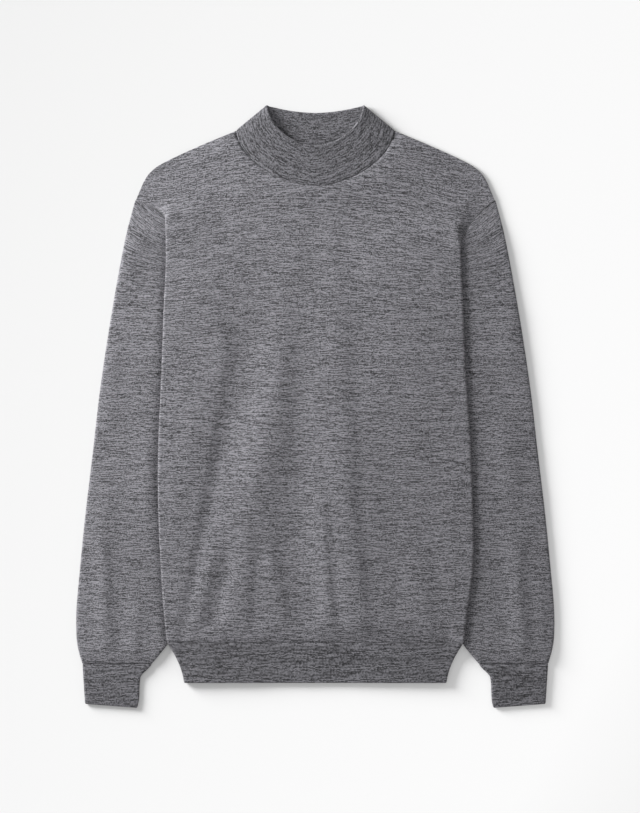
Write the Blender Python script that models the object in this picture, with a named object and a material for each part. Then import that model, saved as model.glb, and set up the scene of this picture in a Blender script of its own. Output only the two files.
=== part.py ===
"""Mock neck sweater in fine grey marl knit, laid flat with its front up.

Both sides of the body are folded under, and the sleeves lie straight down, partly under the body.
Each sheet of cloth is a wall of its own: rows of points across the piece give its middle surface,
and Solidify gives it its thickness. +X is the wearer's left, +Y points to the neck, +Z is up, and
the sweater rests on z = 0. Sizes are in millimetres until `cloth` turns them into metres.
"""

from bisect import bisect_right
from collections import namedtuple
from math import cos, exp, pi, radians, sin

import bmesh
import bpy
from mathutils import Vector

MM = 0.001

# Cloth: wall thicknesses, and how far apart the laid layers are
KNIT = 1.5
RIB = 1.75
COLLAR_WALL = 2.8
PLY = 2.1
FOLD_AIR = 2.6
FOLD_RADIUS = PLY + FOLD_AIR / 2
SEAM = 0.3

# Body: y is measured from the middle of the laid length
NECK_POINT_Y = 345.0
NECK_HALF_WIDTH = 99.4
FRONT_NECK_DROP = 69.0
BACK_NECK_DROP = 26.0
NECK_ROUNDNESS = 1.75
UNDERARM_Y = 71.0
SIDE_SEAM_X = 120.0
HEM_SEAM_Y = -294.0
HEM_HEIGHT = 51.0
HEM_HALF_WIDTH = 163.5
HEM_SEAM_HALF_WIDTH = 184.6
HEM_NARROWING = 1.6
HEM_FLAP_SHIFT = 14.0
SHOULDER_CURL = 4.0

# Collar: a band folded double, as high at the sides as at the front
COLLAR_TOP_Y = 376.75
COLLAR_TOP_HALF_WIDTH = 60.5
COLLAR_FRONT_DROP = 50.5
COLLAR_BACK_DROP = 8.75
COLLAR_ROUNDNESS = 1.8
COLLAR_RISE = 5.0
COLLAR_SPRING = 3.0
COLLAR_TURN = 0.3

# Sleeves and cuffs
CUFF_SEAM_Y = -321.5
CUFF_OUTER_X = 290.6
CUFF_INNER_X = 205.6
CUFF_HEM_OUTER = (287.4, -371.5)
CUFF_HEM_INNER = (223.8, -376.4)
CUFF_FLARE = 9.0
CUFF_FLARE_START = 0.3
CUFF_FLARE_END = (0.2, 1.0)
CUFF_LOFT = 1.8
SLEEVE_LOFT = 2.6
SLEEVE_FAN = 1.5
SLEEVE_ROW_GROWTH = 1.15
SLEEVE_PUFF = 1.4
SLEEVE_PUFF_LENGTH = 36.0
SLEEVE_EDGE_RISE = (12.0, 26.0)
SLEEVE_HEM_RISE = 6.0
SLEEVE_HEAD_RISE = (16.0, 110.0)
ARMHOLE_PULL = 0.3

# How the upper layers settle over the edges of the layers below
RAMP = 26.0
RAMP_CLEARANCE = 5.0
FOLD_TOP_Y = 264.0
FLAP_DRAWN_Y = -154.0
FLAP_DRAWN_LENGTH = 140.0
FLAP_DRAWN_BACK = 6.0
HEM_PUFF = 1.2
HEM_PUFF_LENGTH = 34.0
HEM_DROP_LENGTH = 18.0
HEM_DROP_START = 4.0
PUFF_SKEW = 0.6
BACK_INSET = 3.0

# How the front spans the hollow between its two folded sides, below the collar and shoulders
BODY_HOLLOW = 1.2
HEM_HOLLOW = 2.0
HEM_SETTLE = 80.0
HOLLOW_REACH = 118.0
SHOULDER_SLOPE = 0.45
SHOULDER_SETTLE = 150.0
NECK_SETTLE = 2.2
NECK_EDGE = 0.25
NECK_EASE = 0.9
EDGE_CLEARANCE = 4.0
EDGE_SETTLE = 26.0
SETTLED_SOFTNESS = 0.9

SideRow = namedtuple("SideRow", "y left right")
SeamRow = namedtuple("SeamRow", "x left_y right_y")
EdgeRow = namedtuple("EdgeRow", "x y")
Crease = namedtuple("Crease", "x height")
FoldRow = namedtuple("FoldRow", "top_x top_y middle_x middle_y low_x low_y width height")
Station = namedtuple("Station", "middle_y edge_y edge_x edge roundness")
Side = namedtuple("Side", "name sign")

LEFT = Side("left", 1)
RIGHT = Side("right", -1)
SIDES = (LEFT, RIGHT)

# Where the body's sides are folded under, from the hem up
SIDE_FOLD = [
    SideRow(y=-294, left=185.0, right=184.6),
    SideRow(y=-251, left=190.0, right=189.0),
    SideRow(y=-205, left=196.0, right=192.0),
    SideRow(y=-156, left=197.0, right=194.6),
    SideRow(y=-89, left=195.0, right=196.0),
    SideRow(y=-34, left=193.0, right=195.0),
    SideRow(y=9, left=189.5, right=193.0),
    SideRow(y=77, left=186.0, right=190.3),
    SideRow(y=129, left=184.0, right=188.5),
    SideRow(y=165, left=182.5, right=186.5),
    SideRow(y=200, left=181.0, right=186.0),
    SideRow(y=237, left=181.0, right=187.0),
    SideRow(y=262, left=184.0, right=187.5),
]

# The armhole seam from the underarm, hidden below the body, to the top of the sleeve
ARMHOLE = [
    SeamRow(x=120.0, left_y=71.0, right_y=71.0),
    SeamRow(x=129.0, left_y=100.0, right_y=103.0),
    SeamRow(x=143.0, left_y=135.0, right_y=146.0),
    SeamRow(x=160.0, left_y=170.0, right_y=188.0),
    SeamRow(x=172.0, left_y=190.0, right_y=213.0),
    SeamRow(x=183.0, left_y=210.0, right_y=231.0),
    SeamRow(x=193.4, left_y=228.0, right_y=243.0),
    SeamRow(x=210.0, left_y=246.7, right_y=254.0),
    SeamRow(x=224.4, left_y=258.8, right_y=258.8),
]

# The shoulder's outline from the top of the sleeve to the neck
SHOULDER = [
    EdgeRow(x=224.4, y=258.8),
    EdgeRow(x=219.4, y=271.3),
    EdgeRow(x=209.4, y=290.0),
    EdgeRow(x=194.4, y=302.5),
    EdgeRow(x=147.0, y=325.0),
    EdgeRow(x=99.4, y=345.0),
]

# The sleeve's outline from its top to the cuff
SLEEVE_OUTER = [
    EdgeRow(x=224.4, y=258.8),
    EdgeRow(x=234.4, y=221.0),
    EdgeRow(x=245.6, y=165.0),
    EdgeRow(x=258.5, y=90.0),
    EdgeRow(x=269.4, y=15.0),
    EdgeRow(x=278.0, y=-60.0),
    EdgeRow(x=287.0, y=-135.0),
    EdgeRow(x=294.4, y=-210.0),
    EdgeRow(x=298.2, y=-255.0),
    EdgeRow(x=298.0, y=-288.0),
    EdgeRow(x=295.6, y=-304.0),
    EdgeRow(x=CUFF_OUTER_X, y=CUFF_SEAM_Y),
]

# The sleeve's inner edge, hidden from the underarm to the hem and then free down to the cuff
SLEEVE_INNER = [
    EdgeRow(x=120.0, y=UNDERARM_Y),
    EdgeRow(x=152.5, y=-111.5),
    EdgeRow(x=184.8, y=HEM_SEAM_Y),
    EdgeRow(x=194.0, y=-307.5),
    EdgeRow(x=CUFF_INNER_X, y=CUFF_SEAM_Y),
]

# The front's long crests and troughs from its right side to its left, each read at CREASE_Y
CREASE_Y = (-294, -262, -216, -166, -104, -41, 21, 84, 146, 200)
FRONT_CREASES = [
    Crease(x=(-184, -184, -184, -184, -184, -184, -184, -184, -184, -184),
           height=(0, 0, 0, 0, 0, 0, 0, 0, 0, 0)),
    Crease(x=(-182, -181, -179, -177, -168, -156, -138, -135, -150, -150),
           height=(0, 0, 0.1, 0.2, 0.6, 1.1, 0.3, -0.9, 0.8, 0)),
    Crease(x=(-166, -162, -157, -150, -131, -113, -99, -89, -75, -75),
           height=(-1.7, -2.1, -2.5, -3, -3.3, -2.8, -3.3, -3.1, -0.5, 0)),
    Crease(x=(-95, -92, -87, -81, -72, -56, -47, -43, -40, -40),
           height=(1.2, 1.5, 1.8, 2.2, 4.2, 5.9, 3.4, 1.4, 0.4, 0)),
    Crease(x=(-18, -21, -25, -28, -26, -20, -19, -12, -14, -14),
           height=(-0.6, -0.9, -1.2, -1.1, 0.8, 2.3, 0.8, -0.5, -0.4, 0)),
    Crease(x=(62, 58, 51, 46, 40, 37, 32, 30, 26, 24),
           height=(4.6, 6.2, 6.5, 5.9, 6.5, 6.2, 3.6, 2, 0.8, 0)),
    Crease(x=(84, 80, 72, 66, 62, 61, 55, 52, 51, 48),
           height=(2.8, 3.6, 2.9, 2.8, 3.3, 3.4, 1.4, 0.2, -0.3, 0)),
    Crease(x=(110, 107, 104, 106, 104, 96, 88, 96, 90, 90),
           height=(1.9, 1.9, 1.9, 0.9, 1.4, 2.2, 1.9, 1.1, 0.5, 0)),
    Crease(x=(178, 178, 178, 178, 178, 178, 178, 178, 178, 178),
           height=(0, 0, 0, 0, 0, 0, 0, 0, 0, 0)),
]

# Shorter folds, each a rounded ridge or trough
FRONT_FOLDS = [
    FoldRow(-126, -140, -133, -204, -150, -285, width=10, height=2.3),
    FoldRow(-104, -140, -109, -204, -130, -285, width=10, height=-2.2),
    FoldRow(4, -90, 11, -204, 18, -285, width=12, height=2),
    FoldRow(131, -190, 135, -245, 140, -285, width=12, height=1.7),
]
SLEEVE_FOLDS = {
    LEFT: [
        FoldRow(236, 150, 246, 90, 254, 30, width=13, height=1.4),
        FoldRow(232, 0, 243, -72, 247, -140, width=14, height=1.8),
        FoldRow(246, -120, 254, -225, 259, -318, width=13, height=3),
    ],
    RIGHT: [
        FoldRow(244, 110, 256, 20, 262, -60, width=12, height=1.3),
        FoldRow(264, -60, 266, -166, 260, -318, width=13, height=2.6),
        FoldRow(212, -20, 209, -72, 212, -160, width=11, height=1.6),
    ],
}
FOLD_FADE_LOW = 0.3
FOLD_FADE_HIGH = 0.5

# How finely each piece is divided
FRONT_COLUMNS = (0, 0.055, 0.11, 0.165, 0.22, 0.275, 0.33, 0.385, 0.44, 0.485, 0.53)
BACK_COLUMNS = (0, 0.2, 0.36, 0.45, 0.52)
SIDE_COLUMNS = (0.57, 0.62, 0.67, 0.72, 0.77, 0.82, 0.87, 0.92, 0.96, 1)
HEM_COLUMNS = (0, 0.18, 0.36, 0.52, 0.6, 0.68, 0.76, 0.84, 0.92, 1)
BEND_STEPS = 4
TAIL_STEPS = 4
LOW_ROWS = (0, 7, 20, 40, 80, 125, 170, 215, 260, 305, 350, 395, 435)
FOLD_ROWS = 5
OPEN_ROWS = 4
SHOULDER_ROWS = (0.06, 0.16, 0.34, 0.66, 1)
SLEEVE_ROWS = 15
SLEEVE_ACROSS = (0, 0.12, 0.26, 0.42, 0.58, 0.74, 0.88, 1)
SLEEVE_UNDER = (1, 0.75, 0.5, 0.25, 0)
CUFF_ROWS = (0, 0.3, 0.65, 0.97, 1)
COLLAR_ROWS = (0, 0.35, 0.7, 0.95, 1)
COLLAR_AROUND = 44
HEM_ROWS = (0, 0.15, 0.4, 0.7, 0.97, 1)
HEM_TAIL_STEPS = 3
TURN_STEPS = 4
ROLLED_EDGE = 0.45


def ease(t):
    """0 before t = 0 and 1 after t = 1, with a soft start and end between."""
    t = min(max(t, 0.0), 1.0)
    return t * t * (3 - 2 * t)


def mix(a, b, t):
    return a + (b - a) * t


def smooth(knots, values, at):
    """Value at `at` of a smooth curve that takes the given values at the rising knots."""
    at = min(max(at, knots[0]), knots[-1])
    last = len(knots) - 1
    i = min(bisect_right(knots, at) - 1, last - 1)

    def slope(k):
        before, after = max(k - 1, 0), min(k + 1, last)
        return (values[after] - values[before]) / (knots[after] - knots[before])

    span = knots[i + 1] - knots[i]
    t = (at - knots[i]) / span
    ends = values[i] * ((1 + 2 * t) * (1 - t) ** 2) + values[i + 1] * (t * t * (3 - 2 * t))
    pulls = slope(i) * (t * (1 - t) ** 2) - slope(i + 1) * (t * t * (1 - t))
    return ends + pulls * span


def along(edge, share):
    """Point at a share of the length of the smooth curve through an edge's rows."""
    points = [Vector((row.x, row.y)) for row in edge]
    lengths = [0.0]
    for before, after in zip(points, points[1:]):
        lengths.append(lengths[-1] + (after - before).length)
    return smooth(lengths, points, share * lengths[-1])


def edge_x(edge, y):
    """Distance from the middle line of an edge that runs down the garment, at height y."""
    rows = sorted(edge, key=lambda row: row.y)
    return smooth([row.y for row in rows], [row.x for row in rows], y)


def fold_x(side, y):
    """Distance from the middle line to the fold at the body's side."""
    return smooth([row.y for row in SIDE_FOLD], [getattr(row, side.name) for row in SIDE_FOLD], y)


def armhole_x(side, y):
    heights = [getattr(row, side.name + "_y") for row in ARMHOLE]
    return smooth(heights, [row.x for row in ARMHOLE], y)


def armhole_point(side, share):
    """Point on the armhole seam, from the underarm at 0 to the top of the sleeve at 1."""
    return along([EdgeRow(row.x, getattr(row, side.name + "_y")) for row in ARMHOLE], share)


def fold_start_share(side):
    """Share of the armhole seam's length at which it comes out from under the folded side."""
    low, high = 0.0, 1.0
    for _ in range(30):
        middle = (low + high) / 2
        point = armhole_point(side, middle)
        if point.x < fold_x(side, point.y):
            low = middle
        else:
            high = middle
    return low


FOLD_START = {side: armhole_point(side, fold_start_share(side)).y for side in SIDES}


def flap_x(side, y):
    """Distance from the middle line to the inner edge of the folded side."""
    if y > UNDERARM_Y:
        return armhole_x(side, min(y, FOLD_START[side]))
    drawn_out = ease((FLAP_DRAWN_Y - y) / FLAP_DRAWN_LENGTH)
    drawn_back = ease((HEM_SEAM_Y - y) / HEM_HEIGHT)
    return SIDE_SEAM_X + HEM_FLAP_SHIFT * drawn_out - FLAP_DRAWN_BACK * drawn_back


def sleeve_x(side, y):
    """Distance from the middle line to the sleeve's edge under the body."""
    if y > UNDERARM_Y:
        return armhole_x(side, min(y, FOLD_START[side]))
    return edge_x(SLEEVE_INNER, max(y, HEM_SEAM_Y))


def opened(side, y):
    """0 where the side is folded under, rising to 1 where the fold runs out near the shoulder."""
    return ease((y - FOLD_START[side]) / (FOLD_TOP_Y - FOLD_START[side]))


def over_sleeves(y):
    """1 where the sleeves lie under the body, falling to 0 below the hem seam."""
    return ease((y - HEM_SEAM_Y + HEM_DROP_LENGTH + HEM_DROP_START) / HEM_DROP_LENGTH)


def sleeve_lift(side, x, y):
    """How far the sleeve's two layers raise what lies on them."""
    start = sleeve_x(side, y) - RAMP_CLEARANCE - RAMP
    return 2 * PLY * over_sleeves(y) * ease((x - start) / RAMP)


def flap_lift(side, x, y):
    """How far the two layers of the folded side raise the back and the front."""
    end = min(flap_x(side, y) - RAMP_CLEARANCE, sleeve_x(side, y) - RAMP_CLEARANCE - RAMP)
    return (PLY + FOLD_AIR) * ease((x - end + RAMP) / RAMP)


def stack_share(side, x, y, ply):
    """How much of that lift is left above the start of the fold, where the stack runs out."""
    if y <= FOLD_START[side]:
        return 1.0
    fold = fold_x(side, y)
    width = armhole_x(side, min(y, SHOULDER[0].y)) - fold + FOLD_RADIUS - 1
    share = (1 - opened(side, y)) * (1 - ease((x - fold + FOLD_RADIUS) / width))
    return share ** (1 + ply)


def row_bend(share, roundness):
    """Rise of a row at a share of its half width: straight at roundness 1, round as a neckline above."""
    return 1 - (1 - min(share, 1.0) ** roundness) ** (1 / roundness)


def neck_ring(x, y):
    """1 on the front's neckline, and more the farther out a point lies."""
    across = (x / NECK_HALF_WIDTH) ** NECK_ROUNDNESS
    down = (max(NECK_POINT_Y - y, 0) / FRONT_NECK_DROP) ** NECK_ROUNDNESS
    return (across + down) ** (1 / NECK_ROUNDNESS)


def facing(down):
    """1 on the collar's front and 0 on its back, turning softly at its two sides."""
    return (1 + sin(max(-1.0, min(1.0, down / COLLAR_TURN)) * pi / 2)) / 2


def neck_rise(y):
    """How far the collar's seam lifts the front's neckline above the cloth's own layer."""
    down = (max(NECK_POINT_Y - y, 0) / FRONT_NECK_DROP) ** (NECK_ROUNDNESS / 2)
    return COLLAR_WALL / 2 + COLLAR_RISE * facing(down) - PLY - KNIT / 2


def spanned(x, y, lift):
    """How far the front spans above the lifted layers below it, before its own folds."""
    full = PLY + FOLD_AIR + 2 * PLY * over_sleeves(y)
    depth = mix(HEM_HOLLOW, BODY_HOLLOW, ease((y - HEM_SEAM_Y) / HEM_SETTLE))
    hollow = (1 - min(x / HOLLOW_REACH, 1) ** 2) ** 2
    shoulder_y = NECK_POINT_Y - SHOULDER_SLOPE * max(x - NECK_HALF_WIDTH, 0)
    below = ease((shoulder_y - y) / SHOULDER_SETTLE) * ease((neck_ring(x, y) - 1) / NECK_SETTLE)
    return (full - depth * hollow - lift) * below


def settled(height):
    """A height held softly above zero, as cloth can't sink into what it lies on."""
    return (height + (height**2 + SETTLED_SOFTNESS**2) ** 0.5) / 2


def creased(x, y):
    """Height of the front's long creases, running softly across from one to the next."""
    lines = [(smooth(CREASE_Y, line.x, y), smooth(CREASE_Y, line.height, y)) for line in FRONT_CREASES]
    height = lines[0][1]
    for (before_x, before), (after_x, after) in zip(lines, lines[1:]):
        height += (after - before) * ease((x - before_x) / (after_x - before_x))
    return height


def ridges(folds, x, y):
    """Height that the soft folds of a table add at a point."""
    height = 0.0
    for fold in folds:
        knots = [fold.low_y, fold.middle_y, fold.top_y]
        middle = smooth(knots, [fold.low_x, fold.middle_x, fold.top_x], y)
        share = (y - fold.low_y) / (fold.top_y - fold.low_y)
        if 0 < share < 1:
            run = ease(share / FOLD_FADE_LOW) * ease((1 - share) / FOLD_FADE_HIGH)
            height += fold.height * run * exp(-(((x - middle) / fold.width) ** 2))
    return height


def body_height(side, x, y, ply):
    """Height of the front (ply 0) or of the back (ply 1) across the body, x from the middle line."""
    lift = sleeve_lift(side, x, y) + flap_lift(side, x, y)
    base = KNIT / 2 + stack_share(side, x, y, ply) * lift
    if ply:
        return base
    if y < SHOULDER[0].y:
        limit = mix(fold_x(side, y), armhole_x(side, y) - SHOULDER_CURL, opened(side, y))
    else:
        limit = edge_x(SHOULDER, y) - SHOULDER_CURL
    inside = ease((limit - x - EDGE_CLEARANCE) / EDGE_SETTLE)
    over_hem = (y - HEM_SEAM_Y) / HEM_PUFF_LENGTH
    puff = HEM_PUFF * sin(pi * over_hem**PUFF_SKEW) if 0 < over_hem < 1 else 0.0
    folds = creased(side.sign * x, y) + ridges(FRONT_FOLDS, side.sign * x, y)
    ring = neck_ring(x, y)
    free = settled(spanned(x, y, lift) + folds * ease(over_hem) + puff) * ease((ring - 1) / NECK_EDGE)
    return base + PLY + inside * free + neck_rise(y) * (1 - ease((ring - 1) / NECK_EASE))


def arc(x, z, radius, start, end, steps):
    """Points (x, z) of a round turn; the angles are in degrees."""
    points = []
    for k in range(steps + 1):
        angle = radians(mix(start, end, k / steps))
        points.append((x + radius * cos(angle), z + radius * sin(angle)))
    return points


def folded_under(side, station, ply):
    """Edge with a half turn and a flap that runs back in to the seam; the back lies in the front's."""
    y = station.edge_y
    start_x = fold_x(side, y) - FOLD_RADIUS
    middle = KNIT / 2 + sleeve_lift(side, start_x, y) + FOLD_RADIUS
    points = arc(start_x, middle, FOLD_RADIUS - ply * PLY, 90, -90, BEND_STEPS)
    for k in range(1, TAIL_STEPS + 1):
        x = mix(start_x, flap_x(side, y) + SEAM / 2, k / TAIL_STEPS)
        points.append((x, KNIT / 2 + ply * PLY + sleeve_lift(side, x, y)))
    return points


def hung_down(side, station, ply):
    """Edge at the start of the fold: a quarter turn down to just above the sleeve."""
    start_x = fold_x(side, station.edge_y) - FOLD_RADIUS
    radius = FOLD_RADIUS - ply * PLY
    middle = KNIT / 2 + 2 * PLY + FOLD_RADIUS
    low = 2 * PLY + SEAM + ply * PLY
    turn = BEND_STEPS // 2
    steps = BEND_STEPS + TAIL_STEPS - turn
    points = arc(start_x, middle, radius, 90, 0, turn)
    return points + [(start_x + radius, mix(middle, low, k / steps)) for k in range(1, steps + 1)]


def stepped_down(side, station, ply):
    """Edge above the fold: the cloth steps down to the armhole seam beside it."""
    y = station.edge_y
    seam = armhole_x(side, y) - SEAM / 2 - BACK_INSET * ply
    start_x = mix(fold_x(side, y) - FOLD_RADIUS, seam - 2 * SHOULDER_CURL, opened(side, y))
    steps = BEND_STEPS + TAIL_STEPS
    places = [mix(start_x, seam, k / steps) for k in range(steps + 1)]
    return [(x, body_height(side, x, y, ply)) for x in places]


def curled_over(side, station, ply):
    """Shoulder edge: the front curls down onto the edge of the back."""
    steps = BEND_STEPS + TAIL_STEPS
    start_x = station.edge_x - SHOULDER_CURL
    reach = SHOULDER_CURL - KNIT / 2
    if ply:
        return [(start_x + reach * k / steps, KNIT / 2) for k in range(steps + 1)]
    top, low = body_height(side, start_x, station.edge_y, 0), 1.5 * KNIT + SEAM
    angles = [pi / 2 * (1 - k / steps) for k in range(steps + 1)]
    return [(start_x + reach * cos(angle), mix(low, top, sin(angle))) for angle in angles]


def half_row(side, station, columns, ply):
    """Points from the middle of the body across to its edge, and round it to the seam."""
    path = station.edge(side, station, ply)
    start_x = path[0][0]
    under = station.edge in (folded_under, hung_down)
    turn_x = start_x if under else station.edge_x
    points = []
    for share in columns:
        x = share * start_x
        y = mix(station.middle_y, station.edge_y, row_bend(x / turn_x, station.roundness))
        points.append((side.sign * x, y, body_height(side, x, y, ply)))
    for x, z in path[1:]:
        bend = 1 if under else row_bend(x / turn_x, station.roundness)
        points.append((side.sign * x, mix(station.middle_y, station.edge_y, bend), z))
    return points


def body_stations(side, neck_drop):
    """One side's rows, from the hem up past the start of the fold and the shoulder to the neck."""
    first = HEM_SEAM_Y + SEAM
    stations = [Station(first + up, first + up, None, folded_under, 1) for up in LOW_ROWS]
    straight_y, start_y = first + LOW_ROWS[-1], FOLD_START[side]
    edges = []
    for k in range(1, FOLD_ROWS + 1):
        style = hung_down if k == FOLD_ROWS else folded_under
        edges.append((mix(straight_y, start_y, k / FOLD_ROWS), None, style))
    for k in range(1, OPEN_ROWS + 1):
        corner = armhole_point(side, mix(fold_start_share(side), 1, k / OPEN_ROWS))
        edges.append((corner.y, corner.x, stepped_down))
    for share in SHOULDER_ROWS:
        corner = along(SHOULDER, share)
        edges.append((corner.y, corner.x, curled_over))
    for k, (y, x, style) in enumerate(edges):
        share = (k + 1) / len(edges)
        middle_y = mix(straight_y, NECK_POINT_Y - neck_drop, share)
        stations.append(Station(middle_y, y, x, style, mix(1, NECK_ROUNDNESS, share**4)))
    return stations


def body_panel(name, neck_drop, middle_columns, ply):
    """The front or the back, from seam to seam with both side folds."""
    columns = middle_columns + SIDE_COLUMNS
    rows = []
    for left_station, right_station in zip(*(body_stations(side, neck_drop) for side in SIDES)):
        left = half_row(LEFT, left_station, columns, ply)
        right = half_row(RIGHT, right_station, columns, ply)
        rows.append(right[:0:-1] + left)
    return cloth(name, rows, KNIT)


def hem_fold_x(share):
    return mix(HEM_HALF_WIDTH, HEM_SEAM_HALF_WIDTH, (1 - share) ** HEM_NARROWING)


def hem_half(side, share):
    """One side of the hem band's ring: front, side fold, flap and back, from middle to middle."""
    y = HEM_SEAM_Y - share * HEM_HEIGHT
    start_x = hem_fold_x(share) - FOLD_RADIUS
    flap_end = flap_x(side, y) + PLY

    def base(x):
        return RIB / 2 + sleeve_lift(side, x, y)

    def top(x):
        return base(x) + flap_lift(side, x, y)

    def free(x):
        inside = ease((start_x + FOLD_RADIUS - x - EDGE_CLEARANCE) / EDGE_SETTLE)
        return inside * settled(spanned(x, y, sleeve_lift(side, x, y) + flap_lift(side, x, y)))

    front = [(x, top(x) + PLY + free(x)) for x in (c * start_x for c in HEM_COLUMNS)]
    back = [(x, top(x)) for x in (c * start_x for c in reversed(HEM_COLUMNS))]
    tail_xs = [mix(start_x, flap_end, k / HEM_TAIL_STEPS) for k in range(1, HEM_TAIL_STEPS + 1)]
    outer_turn = arc(start_x, base(start_x) + FOLD_RADIUS, FOLD_RADIUS, 90, -90, BEND_STEPS)
    flap_out = [(x, base(x)) for x in tail_xs]
    middle = base(flap_end) + PLY / 2
    inner_turn = arc(flap_end, middle, PLY / 2, 270, 90, TURN_STEPS)
    flap_in = [(x, base(x) + PLY) for x in reversed(tail_xs[:-1])]
    back_turn = arc(start_x, base(start_x) + FOLD_RADIUS, FOLD_RADIUS - PLY, -90, 90, BEND_STEPS)
    section = front + outer_turn[1:] + flap_out + inner_turn[1:] + flap_in + back_turn + back[1:]
    return [(side.sign * x, y, z) for x, z in section]


def hem_band():
    rows = []
    for share in HEM_ROWS:
        share = max(share, SEAM / HEM_HEIGHT)
        left = hem_half(LEFT, share)
        right = hem_half(RIGHT, share)
        rows.append(left[:-1] + right[:0:-1])
    return cloth("hem_band", rows, RIB, wraps=True, rolled=True)


def flat_tube_row(inner, outer, top_height, under_height):
    """One ring of a tube laid flat: across its top, round its outer fold, and back below."""
    across = outer - inner
    outward = across.normalized()

    def place(share, height):
        point = inner + across * share
        return (point.x, point.y, height)

    top_outer, top_inner = top_height(outer), top_height(inner)
    outer_radius = (top_outer - under_height) / 2
    inner_radius = (top_inner - under_height) / 2
    first = inner_radius / across.length
    last = 1 - outer_radius / across.length
    ring = []
    for share in SLEEVE_ACROSS:
        share = mix(first, last, share)
        ring.append(place(share, top_height(inner + across * share)))
    for reach, height in arc(0, under_height + outer_radius, outer_radius, 90, -90, TURN_STEPS)[1:-1]:
        point = inner + across * last + outward * reach
        ring.append((point.x, point.y, height))
    for share in SLEEVE_UNDER:
        ring.append(place(mix(first, last, share), under_height))
    for reach, height in arc(0, under_height + inner_radius, inner_radius, 270, 90, TURN_STEPS)[1:-1]:
        point = inner + across * first + outward * reach
        ring.append((point.x, point.y, height))
    return ring


def sleeve_height(side, point):
    """Height of a sleeve's upper layer: flat under the body, softly full beside it."""
    edge_gap, edge_rise = SLEEVE_EDGE_RISE
    head_gap, head_rise = SLEEVE_HEAD_RISE
    beside = ease((point.x - fold_x(side, point.y) - edge_gap) / edge_rise)
    if point.y < HEM_SEAM_Y:
        beside = max(beside, ease((HEM_SEAM_Y - point.y) / SLEEVE_HEM_RISE))
    beside *= ease((SHOULDER[0].y - head_gap - point.y) / head_rise)
    over_cuff = (point.y - CUFF_SEAM_Y) / SLEEVE_PUFF_LENGTH
    puff = SLEEVE_PUFF * sin(pi * over_cuff**PUFF_SKEW) if 0 < over_cuff < 1 else 0.0
    full = mix(CUFF_LOFT, SLEEVE_LOFT, ease(over_cuff))
    soft = full + puff + ridges(SLEEVE_FOLDS[side], point.x, point.y)
    return KNIT / 2 + PLY + beside * soft


def sleeve_ends(side, down):
    """Inner and outer ends of a sleeve's ring, from the armhole at 0 to the cuff at 1."""
    inner_y = mix(UNDERARM_Y, CUFF_SEAM_Y + SEAM, down**SLEEVE_FAN)
    outer_y = mix(SHOULDER[0].y, CUFF_SEAM_Y + SEAM, down)
    inner = Vector((edge_x(SLEEVE_INNER, inner_y), inner_y))
    outer = Vector((edge_x(SLEEVE_OUTER, outer_y), outer_y))
    return inner, outer


def sleeve(side):
    rows = []
    top_inner, top_outer = armhole_point(side, 0), armhole_point(side, 1)
    for k in range(SLEEVE_ROWS):
        down = (k / (SLEEVE_ROWS - 1)) ** SLEEVE_ROW_GROWTH
        inner, outer = sleeve_ends(side, down)
        ring = flat_tube_row(inner, outer, lambda point: sleeve_height(side, point), KNIT / 2)
        pull = 1 - ease(down / ARMHOLE_PULL)
        bent = []
        for x, y, z in ring:
            share = (Vector((x, y)) - inner).dot(outer - inner) / (outer - inner).length_squared
            share = min(max(share, 0.0), 1.0)
            straight = top_inner.lerp(top_outer, share)
            shift = (armhole_point(side, share) - straight) * pull
            bent.append((side.sign * (x + shift.x + SEAM * pull), y + shift.y - SEAM * pull, z))
        rows.append(bent)
    return cloth("sleeve_" + side.name, rows, KNIT, wraps=True)


def cuff(side):
    rows = []
    low_outer, low_inner = Vector(CUFF_HEM_OUTER), Vector(CUFF_HEM_INNER)
    top_outer, top_inner = Vector((CUFF_OUTER_X, CUFF_SEAM_Y)), Vector((CUFF_INNER_X, CUFF_SEAM_Y))
    for share in CUFF_ROWS:
        inner = top_inner.lerp(low_inner, share)
        flare_end = ease((share - CUFF_FLARE_END[0]) / (CUFF_FLARE_END[1] - CUFF_FLARE_END[0]))
        inner.x += CUFF_FLARE * ease(share / CUFF_FLARE_START) * (1 - flare_end)
        outer = top_outer.lerp(low_outer, share)
        full = RIB / 2 + PLY + CUFF_LOFT * (1 - share / 2)
        ring = flat_tube_row(inner, outer, lambda point: full, RIB / 2)
        rows.append([(side.sign * x, y, z) for x, y, z in ring])
    return cloth("cuff_" + side.name, rows, RIB, wraps=True, rolled=True)


def collar_ring(share):
    """Ring of the collar at a share of its height, from the neck seam at 0 to its top edge at 1."""
    half_width = mix(NECK_HALF_WIDTH - SEAM, COLLAR_TOP_HALF_WIDTH, share)
    centre_y = mix(NECK_POINT_Y, COLLAR_TOP_Y, share)
    front_drop = mix(FRONT_NECK_DROP, COLLAR_FRONT_DROP, share) - SEAM
    back_drop = mix(BACK_NECK_DROP, COLLAR_BACK_DROP, share) - SEAM
    roundness = mix(NECK_ROUNDNESS, COLLAR_ROUNDNESS, share)
    rise = COLLAR_RISE + COLLAR_SPRING * share
    ring = []
    for k in range(COLLAR_AROUND):
        angle = 2 * pi * (k + 0.5) / COLLAR_AROUND
        across, down = cos(angle), sin(angle)
        x = half_width * abs(across) ** (2 / roundness) * (1 if across > 0 else -1)
        if down > 0:
            y = centre_y - front_drop * down ** (2 / roundness)
        else:
            y = centre_y - back_drop * down**2
        ring.append((x, y, COLLAR_WALL / 2 + rise * facing(down)))
    return ring


def collar():
    return cloth("collar", [collar_ring(s) for s in COLLAR_ROWS], COLLAR_WALL, wraps=True, rolled=True)


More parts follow.
